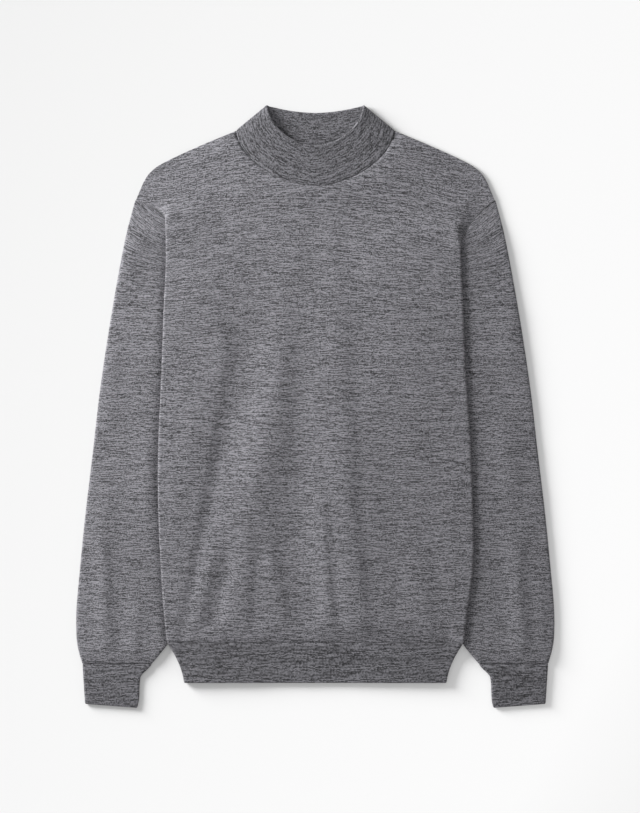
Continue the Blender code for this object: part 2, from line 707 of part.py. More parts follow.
def marl(name, colour, roughness):
    """Plain grey knit finish for one piece."""
    material = bpy.data.materials.new(name)
    material.use_nodes = True
    shader = material.node_tree.nodes["Principled BSDF"]
    shader.inputs["Base Color"].default_value = (*colour, 1)
    shader.inputs["Roughness"].default_value = roughness
    shader.inputs["Metallic"].default_value = 0
    return material


def cloth(name, rows, wall, wraps=False, rolled=False):
    """A wall of cloth about the rows of points; a rolled last row thins to a round edge."""
    shape = bmesh.new()
    grid = [[shape.verts.new(Vector(point) * MM) for point in row] for row in rows]
    for row, following in zip(grid, grid[1:]):
        count = len(row)
        for i in range(count if wraps else count - 1):
            j = (i + 1) % count
            shape.faces.new((row[i], row[j], following[j], following[i]))
    mesh = bpy.data.meshes.new(name)
    shape.to_mesh(mesh)
    shape.free()
    mesh.shade_smooth()
    piece = bpy.data.objects.new(name, mesh)
    bpy.context.scene.collection.objects.link(piece)

    weights = piece.vertex_groups.new(name="wall")
    last_row = range(len(mesh.vertices) - len(rows[-1]), len(mesh.vertices))
    weights.add(range(len(mesh.vertices)), 1.0, "REPLACE")
    if rolled:
        weights.add(list(last_row), ROLLED_EDGE, "REPLACE")
    solid = piece.modifiers.new("Wall", "SOLIDIFY")
    solid.thickness = wall * MM
    solid.offset = 0
    solid.vertex_group = weights.name
    return piece


def stand_on_origin(pieces):
    """Moves the sweater so that its box is centred on the origin and its lowest point is at z = 0."""
    depsgraph = bpy.context.evaluated_depsgraph_get()
    corners = []
    for piece in pieces:
        evaluated = piece.evaluated_get(depsgraph)
        mesh = evaluated.to_mesh()
        corners += [vertex.co.copy() for vertex in mesh.vertices]
        evaluated.to_mesh_clear()
    low = Vector([min(corner[axis] for corner in corners) for axis in range(3)])
    high = Vector([max(corner[axis] for corner in corners) for axis in range(3)])
    shift = Vector((-(low.x + high.x) / 2, -(low.y + high.y) / 2, -low.z))
    for piece in pieces:
        piece.location = shift


def build():
    for item in list(bpy.data.objects):
        bpy.data.objects.remove(item)
    knit_colour, rib_colour = (0.19, 0.186, 0.2), (0.135, 0.132, 0.143)
    pieces = [
        body_panel("back", BACK_NECK_DROP, BACK_COLUMNS, ply=1),
        body_panel("front", FRONT_NECK_DROP, FRONT_COLUMNS, ply=0),
        hem_band(),
        collar(),
    ]
    for side in SIDES:
        pieces += [sleeve(side), cuff(side)]
    for piece in pieces:
        ribbed = piece.name.startswith(("hem", "collar", "cuff"))
        colour = rib_colour if ribbed else knit_colour
        piece.data.materials.append(marl(piece.name + "_knit", colour, 0.9))
    stand_on_origin(pieces)


build()
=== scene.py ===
"""Grey marl mock neck sweater laid flat: the knitwear's visual model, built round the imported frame.

Lengths are in millimetres in the wearer's frame (+X the wearer's left, +Y the neck, +Z up) until a
piece is laid out as a mesh, in metres.
"""

import logging
import math
from dataclasses import dataclass
from enum import Enum
from typing import NamedTuple, Sequence

import bpy
import numpy as np
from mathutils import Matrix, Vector


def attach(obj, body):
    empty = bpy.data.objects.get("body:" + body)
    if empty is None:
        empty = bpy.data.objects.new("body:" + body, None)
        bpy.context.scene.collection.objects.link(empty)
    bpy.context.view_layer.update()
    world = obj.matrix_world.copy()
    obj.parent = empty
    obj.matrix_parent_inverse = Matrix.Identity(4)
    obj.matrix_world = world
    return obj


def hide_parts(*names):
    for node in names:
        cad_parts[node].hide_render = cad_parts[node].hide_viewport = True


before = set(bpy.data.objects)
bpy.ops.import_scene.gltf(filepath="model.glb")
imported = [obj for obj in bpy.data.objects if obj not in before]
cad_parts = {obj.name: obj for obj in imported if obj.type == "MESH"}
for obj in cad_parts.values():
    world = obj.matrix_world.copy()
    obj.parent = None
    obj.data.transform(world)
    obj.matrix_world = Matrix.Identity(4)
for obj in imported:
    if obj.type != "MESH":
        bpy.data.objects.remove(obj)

MM = 0.001
ROOT_BODY = "root"
# What each piece is moved by as it is laid, so that the whole box's middle is the origin
LAID_SHIFT_Y = -0.5
# A fold's turn is round at 1, and nearer to a square corner the lower this is
FOLD_FIRMNESS = 0.6
# How wide a seam draws the cloth down, and how deep beside the sleeves' and cuffs' seams
SEAM_WIDTH = 2.2
SLEEVE_SEAM_DIP = 0.45
# The puff above a seam is fullest nearer to the seam the lower this power is
PUFF_LEAN = 0.6
# A soft fold's crest is followed in straight steps
CREST_STEPS = 14
# The place where the armhole seam leaves the fold is looked for among this many
SEARCH_PLACES = 2001
# Rows this far from a piece's ends shape its round edges
EDGE_ROWS = (0.0, 0.25, 0.8, 1.8)
# The share of a wall's thickness that is left at its very edge
EDGE_LEFT = 0.25
# How far a rib stands out at each of its columns of points, and over what length it fades out
RIB_PROFILE = (0.0, 0.8, 1.0, 0.8)
RIB_FADE = 2.5
# Points of a tube's first and last column are joined when they are this near, in metres
SAME_PLACE = 1e-7
NOISE_ROUGHNESS = 0.7
# A mix node has sockets of the same names for numbers, so those for colours are picked by place
LOW_COLOUR_INPUT, HIGH_COLOUR_INPUT, COLOUR_OUTPUT = 6, 7, 2
Array = np.ndarray
Colour = tuple[float, float, float]
Socket = bpy.types.NodeSocket
log = logging.getLogger("sweater")


def ease(t: Array | float) -> Array:
    """Returns 0 before t = 0 and 1 after t = 1, with a soft start and end between."""
    t = np.clip(t, 0.0, 1.0)
    return t * t * (3 - 2 * t)


def mix(a: Array | float, b: Array | float, t: Array | float) -> Array:
    """Returns the value a share t of the way from a to b."""
    return a + (b - a) * t


def bell(distance: Array, width: Array | float) -> Array:
    """Returns a round hump: 1 at no distance, falling away over the width."""
    return np.exp(-((distance / width) ** 2))


class Side(Enum):
    """The wearer's left or right, with the sign of its X."""

    LEFT = 1
    RIGHT = -1

    @property
    def word(self) -> str:
        """Returns the side's name as the nodes spell it."""
        return self.name.lower()


class SmoothCurve:
    """Smooth curve of one value over rising knots."""

    def __init__(self, knots: Sequence[float], values: Sequence[float]) -> None:
        """Stores the curve's points.

        Args:
            knots: Rising places.
            values: The curve's value at each place.
        """
        self.knots = np.asarray(knots, float)
        self.values = np.asarray(values, float)
        before = np.maximum(np.arange(len(knots)) - 1, 0)
        after = np.minimum(np.arange(len(knots)) + 1, len(knots) - 1)
        self.slopes = (self.values[after] - self.values[before]) / (
            self.knots[after] - self.knots[before]
        )

    def at(self, place: Array | float) -> Array:
        """Returns the curve's value.

        Args:
            place: One place or many; those past the ends take the end's value.

        Returns:
            The value at each place.
        """
        place = np.clip(place, self.knots[0], self.knots[-1])
        i = np.clip(np.searchsorted(self.knots, place, side="right") - 1, 0, len(self.knots) - 2)
        span = self.knots[i + 1] - self.knots[i]
        t = (place - self.knots[i]) / span
        low = self.values[i] * ((1 + 2 * t) * (1 - t) ** 2)
        high = self.values[i + 1] * (t * t * (3 - 2 * t))
        pull = self.slopes[i] * (t * (1 - t) ** 2) - self.slopes[i + 1] * (t * t * (1 - t))
        return low + high + pull * span


class EdgePoint(NamedTuple):
    """A point on an outline."""

    x: float
    y: float


class OutlineCurve:
    """Smooth outline through a few points, read by the share of its length."""

    def __init__(self, points: Sequence[EdgePoint]) -> None:
        """Stores the outline.

        Args:
            points: Its points, in order along it.
        """
        places = np.array(points, float)
        steps = np.hypot(*np.diff(places, axis=0).T)
        self.length = float(steps.sum())
        knots = np.concatenate([[0.0], np.cumsum(steps)])
        self.across = SmoothCurve(knots, places[:, 0])
        self.up = SmoothCurve(knots, places[:, 1])

    def point(self, share: Array | float) -> tuple[Array, Array]:
        """Returns X and Y at a share of the outline's length."""
        place = np.asarray(share) * self.length
        return self.across.at(place), self.up.at(place)


class SideFoldRow(NamedTuple):
    """Where the body's two sides are folded under, at one height."""

    y: float
    left: float
    right: float


class ArmholeRow(NamedTuple):
    """A point of both armhole seams: the same X, each side's own Y."""

    x: float
    left_y: float
    right_y: float


@dataclass(frozen=True)
class SoftFold:
    """A soft fold in the laid cloth: a crest with a width on each side of it."""

    crest: tuple[tuple[float, float], ...]
    height: float
    near: float
    far: float
    fade_in: float = 0.35
    fade_out: float = 0.35
    low_width: float = 1.0

    def raise_by(self, x: Array, y: Array) -> Array:
        """Works out how far the fold lifts the cloth.

        Args:
            x: Signed distance from the middle line, at each point.
            y: Height along the garment, at each point.

        Returns:
            The lift at each point.
        """
        outline = OutlineCurve([EdgePoint(*point) for point in self.crest])
        shares = np.linspace(0, 1, CREST_STEPS + 1)
        line = np.stack(outline.point(shares), axis=-1)
        best = np.full(np.shape(x), np.inf)
        across = np.zeros(np.shape(x))
        along = np.zeros(np.shape(x))
        for k in range(len(line) - 1):
            (ax, ay), (bx, by) = line[k], line[k + 1]
            dx, dy = bx - ax, by - ay
            t = np.clip(((x - ax) * dx + (y - ay) * dy) / (dx * dx + dy * dy), 0, 1)
            off_x, off_y = x - (ax + t * dx), y - (ay + t * dy)
            distance = np.hypot(off_x, off_y)
            closer = distance < best
            best = np.where(closer, distance, best)
            across = np.where(closer, off_x, across)
            along = np.where(closer, mix(shares[k], shares[k + 1], t), along)
        width = np.where(across < 0, self.near, self.far) * mix(1.0, self.low_width, along)
        ends = ease(along / self.fade_in) * ease((1 - along) / self.fade_out)
        return self.height * ends * bell(best, width)


def lift_of(folds: Sequence[SoftFold], x: Array, y: Array) -> Array:
    """Adds up the lift of several soft folds.

    Args:
        folds: The soft folds.
        x: Signed distance from the middle line, at each point.
        y: Height along the garment, at each point.

    Returns:
        The lift at each point.
    """
    total = np.zeros(np.shape(x))
    for fold in folds:
        total = total + fold.raise_by(x, y)
    return total


class CreasePoint(NamedTuple):
    """A point of a long crease, with its height above or below the cloth's level."""

    x: float
    y: float
    height: float


def crease(*points: tuple[float, float, float]) -> tuple[CreasePoint, ...]:
    """Returns a long crest or trough from its points, from the hem up."""
    return tuple(CreasePoint(*point) for point in points)


def profile_of(creases: Sequence[Sequence[CreasePoint]], x: Array, y: Array) -> Array:
    """Works out the height of a cloth that runs softly across from crease to crease.

    Args:
        creases: The crests and troughs, in order across the cloth.
        x: Signed distance from the middle line, at each point.
        y: Height along the garment, at each point.

    Returns:
        The height at each point.
    """
    lines = []
    for points in creases:
        rows = [point.y for point in points]
        place = SmoothCurve(rows, [point.x for point in points]).at(y)
        lines.append((place, SmoothCurve(rows, [point.height for point in points]).at(y)))
    total = lines[0][1]
    for (x0, h0), (x1, h1) in zip(lines, lines[1:]):
        total = total + (h1 - h0) * ease((x - x0) / (x1 - x0))
    return total


def settled(height: Array, softness: float = 0.9) -> Array:
    """Returns a height held softly above zero, as cloth can't sink into what it lies on."""
    return (height + np.sqrt(height * height + softness * softness)) / 2


@dataclass(frozen=True)
class Swell:
    """A slow uneven swell, for cloth that isn't ironed flat."""

    height: float
    size: float
    phase: float

    def at(self, x: Array, y: Array) -> Array:
        """Works out the swell from the waves of SWELL_WAVES, which cross at uneven slants.

        Args:
            x: Distance across the garment, at each point.
            y: Height along the garment, at each point.

        Returns:
            The swell at each point, up to about its height both ways.
        """
        a, b = x / self.size, y / self.size
        total = np.zeros(np.shape(a))
        for wave in SWELL_WAVES:
            rise = np.sin(wave.sine[0] * a + wave.sine[1] * b + wave.sine[2] * self.phase)
            fade = np.cos(wave.cosine[0] * a + wave.cosine[1] * b + wave.cosine[2] * self.phase)
            total = total + wave.share * (rise * fade)
        return self.height * total


class Wave(NamedTuple):
    """Two crossing waves of a swell: how fast each runs across, up, and with the phase."""

    share: float
    sine: tuple[float, float, float]
    cosine: tuple[float, float, float]


SWELL_WAVES = (
    Wave(share=0.6, sine=(1.7, 0.9, 1.0), cosine=(0.8, -1.9, 2.1)),
    Wave(share=0.4, sine=(3.1, -2.3, 3.7), cosine=(0.0, 2.7, 1.0)),
)


@dataclass(frozen=True)
class LaidShape:
    """How the garment lies: its fold lines and seams, and how its layers raise each other."""

    knit: float = 1.5
    rib: float = 1.75
    ply: float = 2.1
    fold_air: float = 1.8
    seam: float = 0.3
    joint: float = 0.05
    neck_point_y: float = 345.0
    neck_half_width: float = 99.4
    neck_roundness: float = 1.75
    front_neck_drop: float = 69.0
    back_neck_drop: float = 26.0
    underarm_y: float = 71.0
    side_seam_x: float = 120.0
    hem_seam_y: float = -294.0
    hem_height: float = 51.0
    hem_drop: float = 18.0
    hem_overlap: float = 4.0
    flap_shift: float = 14.0
    flap_shift_y: float = -154.0
    flap_shift_length: float = 140.0
    flap_hem_draw: float = 6.0
    clearance: float = 5.0
    tucked: float = 31.0
    fold_top_y: float = 264.0
    cuff_seam_y: float = -321.5
    cuff_outer_x: float = 290.6
    cuff_inner_x: float = 205.6
    side_fold: tuple[SideFoldRow, ...] = (
        SideFoldRow(y=-294, left=185.0, right=184.6),
        SideFoldRow(y=-251, left=190.0, right=189.0),
        SideFoldRow(y=-205, left=196.0, right=192.0),
        SideFoldRow(y=-156, left=197.0, right=194.6),
        SideFoldRow(y=-89, left=195.0, right=196.0),
        SideFoldRow(y=-34, left=193.0, right=195.0),
        SideFoldRow(y=9, left=189.5, right=193.0),
        SideFoldRow(y=77, left=186.0, right=190.3),
        SideFoldRow(y=129, left=184.0, right=188.5),
        SideFoldRow(y=165, left=182.5, right=186.5),
        SideFoldRow(y=200, left=181.0, right=186.0),
        SideFoldRow(y=237, left=181.0, right=187.0),
        SideFoldRow(y=262, left=184.0, right=187.5),
    )
    armhole: tuple[ArmholeRow, ...] = (
        ArmholeRow(x=120.0, left_y=71.0, right_y=71.0),
        ArmholeRow(x=129.0, left_y=100.0, right_y=103.0),
        ArmholeRow(x=143.0, left_y=135.0, right_y=146.0),
        ArmholeRow(x=160.0, left_y=170.0, right_y=188.0),
        ArmholeRow(x=172.0, left_y=190.0, right_y=213.0),
        ArmholeRow(x=183.0, left_y=210.0, right_y=231.0),
        ArmholeRow(x=193.4, left_y=228.0, right_y=243.0),
        ArmholeRow(x=210.0, left_y=246.7, right_y=254.0),
        ArmholeRow(x=224.4, left_y=258.8, right_y=258.8),
    )
    shoulder: tuple[EdgePoint, ...] = (
        EdgePoint(224.4, 258.8),
        EdgePoint(219.4, 271.3),
        EdgePoint(209.4, 290.0),
        EdgePoint(194.4, 302.5),
        EdgePoint(147.0, 325.0),
        EdgePoint(99.4, 345.0),
    )
    sleeve_outer: tuple[EdgePoint, ...] = (
        EdgePoint(290.6, -321.5),
        EdgePoint(295.6, -304.0),
        EdgePoint(298.0, -288.0),
        EdgePoint(298.2, -255.0),
        EdgePoint(294.4, -210.0),
        EdgePoint(287.0, -135.0),
        EdgePoint(278.0, -60.0),
        EdgePoint(269.4, 15.0),
        EdgePoint(258.5, 90.0),
        EdgePoint(245.6, 165.0),
        EdgePoint(234.4, 221.0),
        EdgePoint(224.4, 258.8),
    )
    sleeve_inner: tuple[EdgePoint, ...] = (
        EdgePoint(205.6, -321.5),
        EdgePoint(194.0, -307.5),
        EdgePoint(184.8, -294.0),
        EdgePoint(152.5, -111.5),
        EdgePoint(120.0, 71.0),
    )
    sleeve_ramp: float = 24.0
    flap_ramp: float = 24.0
    body_hollow: float = 1.2
    hem_hollow: float = 2.0
    hem_settle: float = 80.0
    hollow_reach: float = 118.0
    shoulder_slope: float = 0.45
    shoulder_settle: float = 150.0
    neck_settle: float = 2.2
    collar_low: float = 1.4
    collar_rise: float = 5.0
    collar_dip: float = 0.35
    collar_side: float = 0.3
    edge_flat: float = 4.0
    edge_rise: float = 26.0
    inner_step: float = 3.0

    @property
    def fold_radius(self) -> float:
        """Returns the radius of the front's wall round a folded side."""
        return self.ply + self.fold_air / 2

    @property
    def shoulder_tip_y(self) -> float:
        """Returns the height of the sleeve's top corner."""
        return self.shoulder[0].y

    def fold_x(self, side: Side, y: Array | float) -> Array:
        """Returns the distance from the middle line to the folded side."""
        values = [getattr(row, side.word) for row in self.side_fold]
        return SmoothCurve([row.y for row in self.side_fold], values).at(y)

    def armhole_curve(self, side: Side) -> OutlineCurve:
        """Returns the armhole seam from the underarm to the top of the sleeve."""
        return OutlineCurve([EdgePoint(r.x, getattr(r, side.word + "_y")) for r in self.armhole])

    def armhole_x(self, side: Side, y: Array | float) -> Array:
        """Returns the distance from the middle line to the armhole seam."""
        heights = [getattr(row, side.word + "_y") for row in self.armhole]
        return SmoothCurve(heights, [row.x for row in self.armhole]).at(y)

    def edge_x(self, edge: Sequence[EdgePoint], y: Array | float) -> Array:
        """Returns the distance from the middle line to an edge whose rows rise in Y."""
        return SmoothCurve([row.y for row in edge], [row.x for row in edge]).at(y)

    def inside(self, limit: Array | float, x: Array) -> Array:
        """Returns 0 along a panel's edge at a distance from the middle line, and 1 well inside it."""
        return ease((limit - x - self.edge_flat) / self.edge_rise)

    def fold_start_share(self, side: Side) -> float:
        """Finds where the armhole seam comes out from under the fold.

        Args:
            side: Which side's seam.

        Returns:
            The share of the seam's length, from the underarm.
        """
        shares = np.linspace(0, 1, SEARCH_PLACES)
        x, y = self.armhole_curve(side).point(shares)
        return float(shares[np.argmax(x >= self.fold_x(side, y))])

    def fold_start(self, side: Side) -> float:
        """Returns the height at which the armhole seam comes out from under the fold."""
        return float(self.armhole_curve(side).point(self.fold_start_share(side))[1])

    def flap_x(self, side: Side, y: Array | float) -> Array:
        """Works out where the folded side's hidden inner edge lies.

        Args:
            side: Which folded side.
            y: Height along the garment.

        Returns:
            Its distance from the middle line.
        """
        drawn_out = ease((self.flap_shift_y - np.asarray(y)) / self.flap_shift_length)
        drawn_back = ease((self.hem_seam_y - np.asarray(y)) / self.hem_height)
        low = self.side_seam_x + self.flap_shift * drawn_out - self.flap_hem_draw * drawn_back
        high = self.armhole_x(side, np.minimum(y, self.fold_start(side)))
        return np.where(np.asarray(y) > self.underarm_y, high, low)

    def sleeve_x(self, side: Side, y: Array | float) -> Array:
        """Works out where the sleeve's edge lies under the body.

        Args:
            side: Which sleeve.
            y: Height along the garment.

        Returns:
            Its distance from the middle line.
        """
        low = self.edge_x(self.sleeve_inner, np.maximum(y, self.hem_seam_y))
        high = self.armhole_x(side, np.minimum(y, self.fold_start(side)))
        return np.where(np.asarray(y) > self.underarm_y, high, low)

    def opened(self, side: Side, y: Array | float) -> Array:
        """Returns 0 where the side is folded, rising to 1 where the fold has run out."""
        start = self.fold_start(side)
        return ease((np.asarray(y) - start) / (self.fold_top_y - start))

    def over_hem(self, y: Array) -> Array:
        """Returns 1 where the sleeves lie under the body, falling to 0 below the hem seam."""
        return ease((y - self.hem_seam_y + self.hem_drop + self.hem_overlap) / self.hem_drop)

    def sleeve_lift(self, side: Side, x: Array, y: Array) -> Array:
        """Returns how far the sleeve's two layers raise the cloth that lies on them."""
        start = self.sleeve_x(side, y) - self.clearance - self.sleeve_ramp
        return 2 * self.ply * self.over_hem(y) * ease((x - start) / self.sleeve_ramp)

    def flap_lift(self, side: Side, x: Array, y: Array) -> Array:
        """Returns how far the folded side's two layers raise the back and the front."""
        end = np.minimum(
            self.flap_x(side, y) - self.clearance, self.sleeve_x(side, y) - self.tucked
        )
        return (self.ply + self.fold_air) * ease((x - end + self.flap_ramp) / self.flap_ramp)

    def span(self, side: Side, x: Array, y: Array) -> Array:
        """Works out how far the front spans above the hollow between the two folded sides.

        Args:
            side: The half that the points are in.
            x: Distance from the middle line.
            y: Height along the garment.

        Returns:
            The height of the front's level above what lies below it, before its own folds.
        """
        risen = ease((y - self.hem_seam_y + self.hem_height) / (2 * self.hem_height))
        full = self.ply + self.fold_air + 2 * self.ply * risen
        up = ease((y - self.hem_seam_y) / self.hem_settle)
        depth = mix(self.hem_hollow, self.body_hollow, up)
        hollow = (1 - np.clip(x / self.hollow_reach, 0, 1) ** 2) ** 2
        lift = self.sleeve_lift(side, x, y) + self.flap_lift(side, x, y)
        shoulder = self.neck_point_y - self.shoulder_slope * np.maximum(x - self.neck_half_width, 0)
        below = ease((shoulder - y) / self.shoulder_settle)
        below = below * ease((self.neck_ring(x, y) - 1) / self.neck_settle)
        return (full - depth * hollow - lift) * below

    def facing(self, down: Array) -> Array:
        """Returns 1 on the collar's front and 0 on its back, turning softly at its two sides."""
        return (1 + np.sin(np.clip(down / self.collar_side, -1, 1) * np.pi / 2)) / 2

    def neck_rise(self, y: Array) -> Array:
        """Works out how far the collar's seam lifts the front's neckline.

        Args:
            y: Height along the garment.

        Returns:
            The lift above the cloth's own layer.
        """
        share = np.maximum(self.neck_point_y - y, 0) / self.front_neck_drop
        down = share ** (self.neck_roundness / 2)
        seam = self.collar_low + self.facing(down) * (self.collar_rise - self.collar_dip)
        return seam + self.seam - self.knit / 2 - self.ply

    def stack_share(self, side: Side, x: Array, y: Array, ply: int) -> Array:
        """Works out how much of the layers' lift is left where the folded side runs out.

        Args:
            side: The half that the points are in.
            x: Distance from the middle line.
            y: Height along the garment.
            ply: 0 for the front, and 1 for the back, which lies inside it.

        Returns:
            The share of the lift.
        """
        fold = self.fold_x(side, y)
        tip = np.minimum(y, self.shoulder_tip_y)
        width = np.maximum(self.armhole_x(side, tip) - fold + self.fold_radius - 1, 1.0)
        share = (1 - self.opened(side, y)) * (1 - ease((x - fold + self.fold_radius) / width))
        return np.where(y <= self.fold_start(side), 1.0, share ** (1 + ply))

    def neck_ring(self, x: Array, y: Array) -> Array:
        """Works out how far out from the middle of the neck a point lies.

        Args:
            x: Distance from the middle line, with or without its sign.
            y: Height along the garment.

        Returns:
            1 on the front's neckline, and more the farther out a point lies.
        """
        across = (np.abs(x) / self.neck_half_width) ** self.neck_roundness
        down = (np.maximum(self.neck_point_y - y, 0) / self.front_neck_drop) ** self.neck_roundness
        return (across + down) ** (1 / self.neck_roundness)


def row_bend(share: Array, roundness: float) -> Array:
    """Returns a row's rise at a share of its half width, straight at roundness 1."""
    share = np.clip(share, 0.0, 1.0)
    return 1 - (1 - share**roundness) ** (1 / roundness)


def firm(share: Array) -> Array:
    """Returns a sine or cosine with its turn drawn out to the corner, as a pressed fold's is."""
    return np.sign(share) * np.abs(share) ** FOLD_FIRMNESS


def arc(x: float, z: float, radius: float, start: float, end: float, steps: int) -> Array:
    """Returns points (x, z) of a round turn; the angles are in degrees."""
    angles = np.radians(np.linspace(start, end, steps + 1))
    return np.stack([x + radius * np.cos(angles), z + radius * np.sin(angles)], axis=-1)


def pressed(x: float, z: float, radius: float, start: float, end: float, steps: int) -> Array:
    """Returns points (x, z) of a turn that is flatter than round above and below its fold."""
    angles = np.radians(np.linspace(start, end, steps + 1))
    return np.stack([x + radius * firm(np.cos(angles)), z + radius * firm(np.sin(angles))], axis=-1)


def resampled(ring: Array, count: int) -> Array:
    """Spaces points evenly round a closed ring.

    Args:
        ring: The ring's points, the first not repeated at the end.
        count: How many points to give back.

    Returns:
        The points, the first one in its old place.
    """
    closed = np.concatenate([ring, ring[:1]])
    steps = np.linalg.norm(np.diff(closed, axis=0), axis=1)
    places = np.concatenate([[0.0], np.cumsum(steps)])
    wanted = np.linspace(0, places[-1], count, endpoint=False)
    return np.stack([np.interp(wanted, places, closed[:, k]) for k in range(3)], axis=-1)


def edge_shares(length: float, spacing: float) -> Array:
    """Places rows along a length, close together at both ends for round edges.

    Args:
        length: The length that the rows lie along.
        spacing: How far apart they are between the ends.

    Returns:
        The rows' places, from 0 to 1.
    """
    close = np.array(EDGE_ROWS)
    count = max(int((length - 2 * close[-1]) / spacing), 2)
    middle = np.linspace(close[-1], length - close[-1], count + 1)
    return np.concatenate([close[:-1], middle, length - close[-2::-1]]) / length


def edge_thickness(distance: Array, radius: float) -> Array:
    """Returns the share of a wall's thickness that is left near its round edge."""
    inward = np.clip(distance / radius, 0.0, 1.0)
    return np.maximum(np.sqrt(1 - (1 - inward) ** 2), EDGE_LEFT)


def ribbed(ribs: int, down: Array, course: float, edge: float) -> tuple[Array, Array, Array]:
    """Sets out the ribs of a tube that has one column of points for each step of RIB_PROFILE.

    Args:
        ribs: How many ribs go round.
        down: Each row's distance from the first.
        course: The height of a course.
        edge: The radius of the wall's round edges.

    Returns:
        The stitch map with one column more, the wall's share and the ribs' share at each point.
    """
    near_edge = np.minimum(down, down[-1] - down)
    relief = ease(near_edge / RIB_FADE)[:, None] * np.tile(RIB_PROFILE, ribs)
    columns = np.arange(ribs * len(RIB_PROFILE) + 1) / len(RIB_PROFILE) + 0.5
    stitch = np.stack(np.broadcast_arrays(columns[None, :], down[:, None] / course), axis=-1)
    thickness = np.repeat(edge_thickness(near_edge, edge)[:, None], relief.shape[1], axis=1)
    return stitch, thickness, relief


def tube_ring(
    inner: Array, outer: Array, top: Array, under: float, across: int, turn: int
) -> tuple[Array, Array]:
    """Lays out one ring of a flat tube: across its top, round its outer fold, and back below.

    Args:
        inner: The inner fold's point (x, y).
        outer: The outer fold's point (x, y).
        top: The upper layer's height at even places across, the first and last at the folds.
        under: The lower layer's height.
        across: How many steps go across.
        turn: How many steps go round a fold.

    Returns:
        The ring's points, and each point's share of the way across.
    """
    span = outer - inner
    width = float(np.hypot(*span))
    outward = span / width
    outer_radius, inner_radius = (top[-1] - under) / 2, (top[0] - under) / 2
    shares = np.linspace(inner_radius / width, 1 - outer_radius / width, across + 1)
    heights = np.interp(shares, np.linspace(0, 1, len(top)), top)
    heights[0], heights[-1] = top[0], top[-1]
    upper = np.stack([shares * width, heights], axis=-1)
    outer_turn = arc(shares[-1] * width, under + outer_radius, outer_radius, 90, -90, turn)[1:-1]
    lower = np.stack([shares[::-1] * width, np.full(across + 1, under)], axis=-1)
    inner_turn = arc(shares[0] * width, under + inner_radius, inner_radius, 270, 90, turn)[1:-1]
    section = np.concatenate([upper, outer_turn, lower, inner_turn])
    flat = inner[None, :] + section[:, :1] * outward[None, :]
    return np.concatenate([flat, section[:, 1:]], axis=1), section[:, 0] / width


@dataclass(frozen=True)
class Stitches:
    """The size of one stitch: wales side by side, courses one above the other."""

    wale: float
    course: float


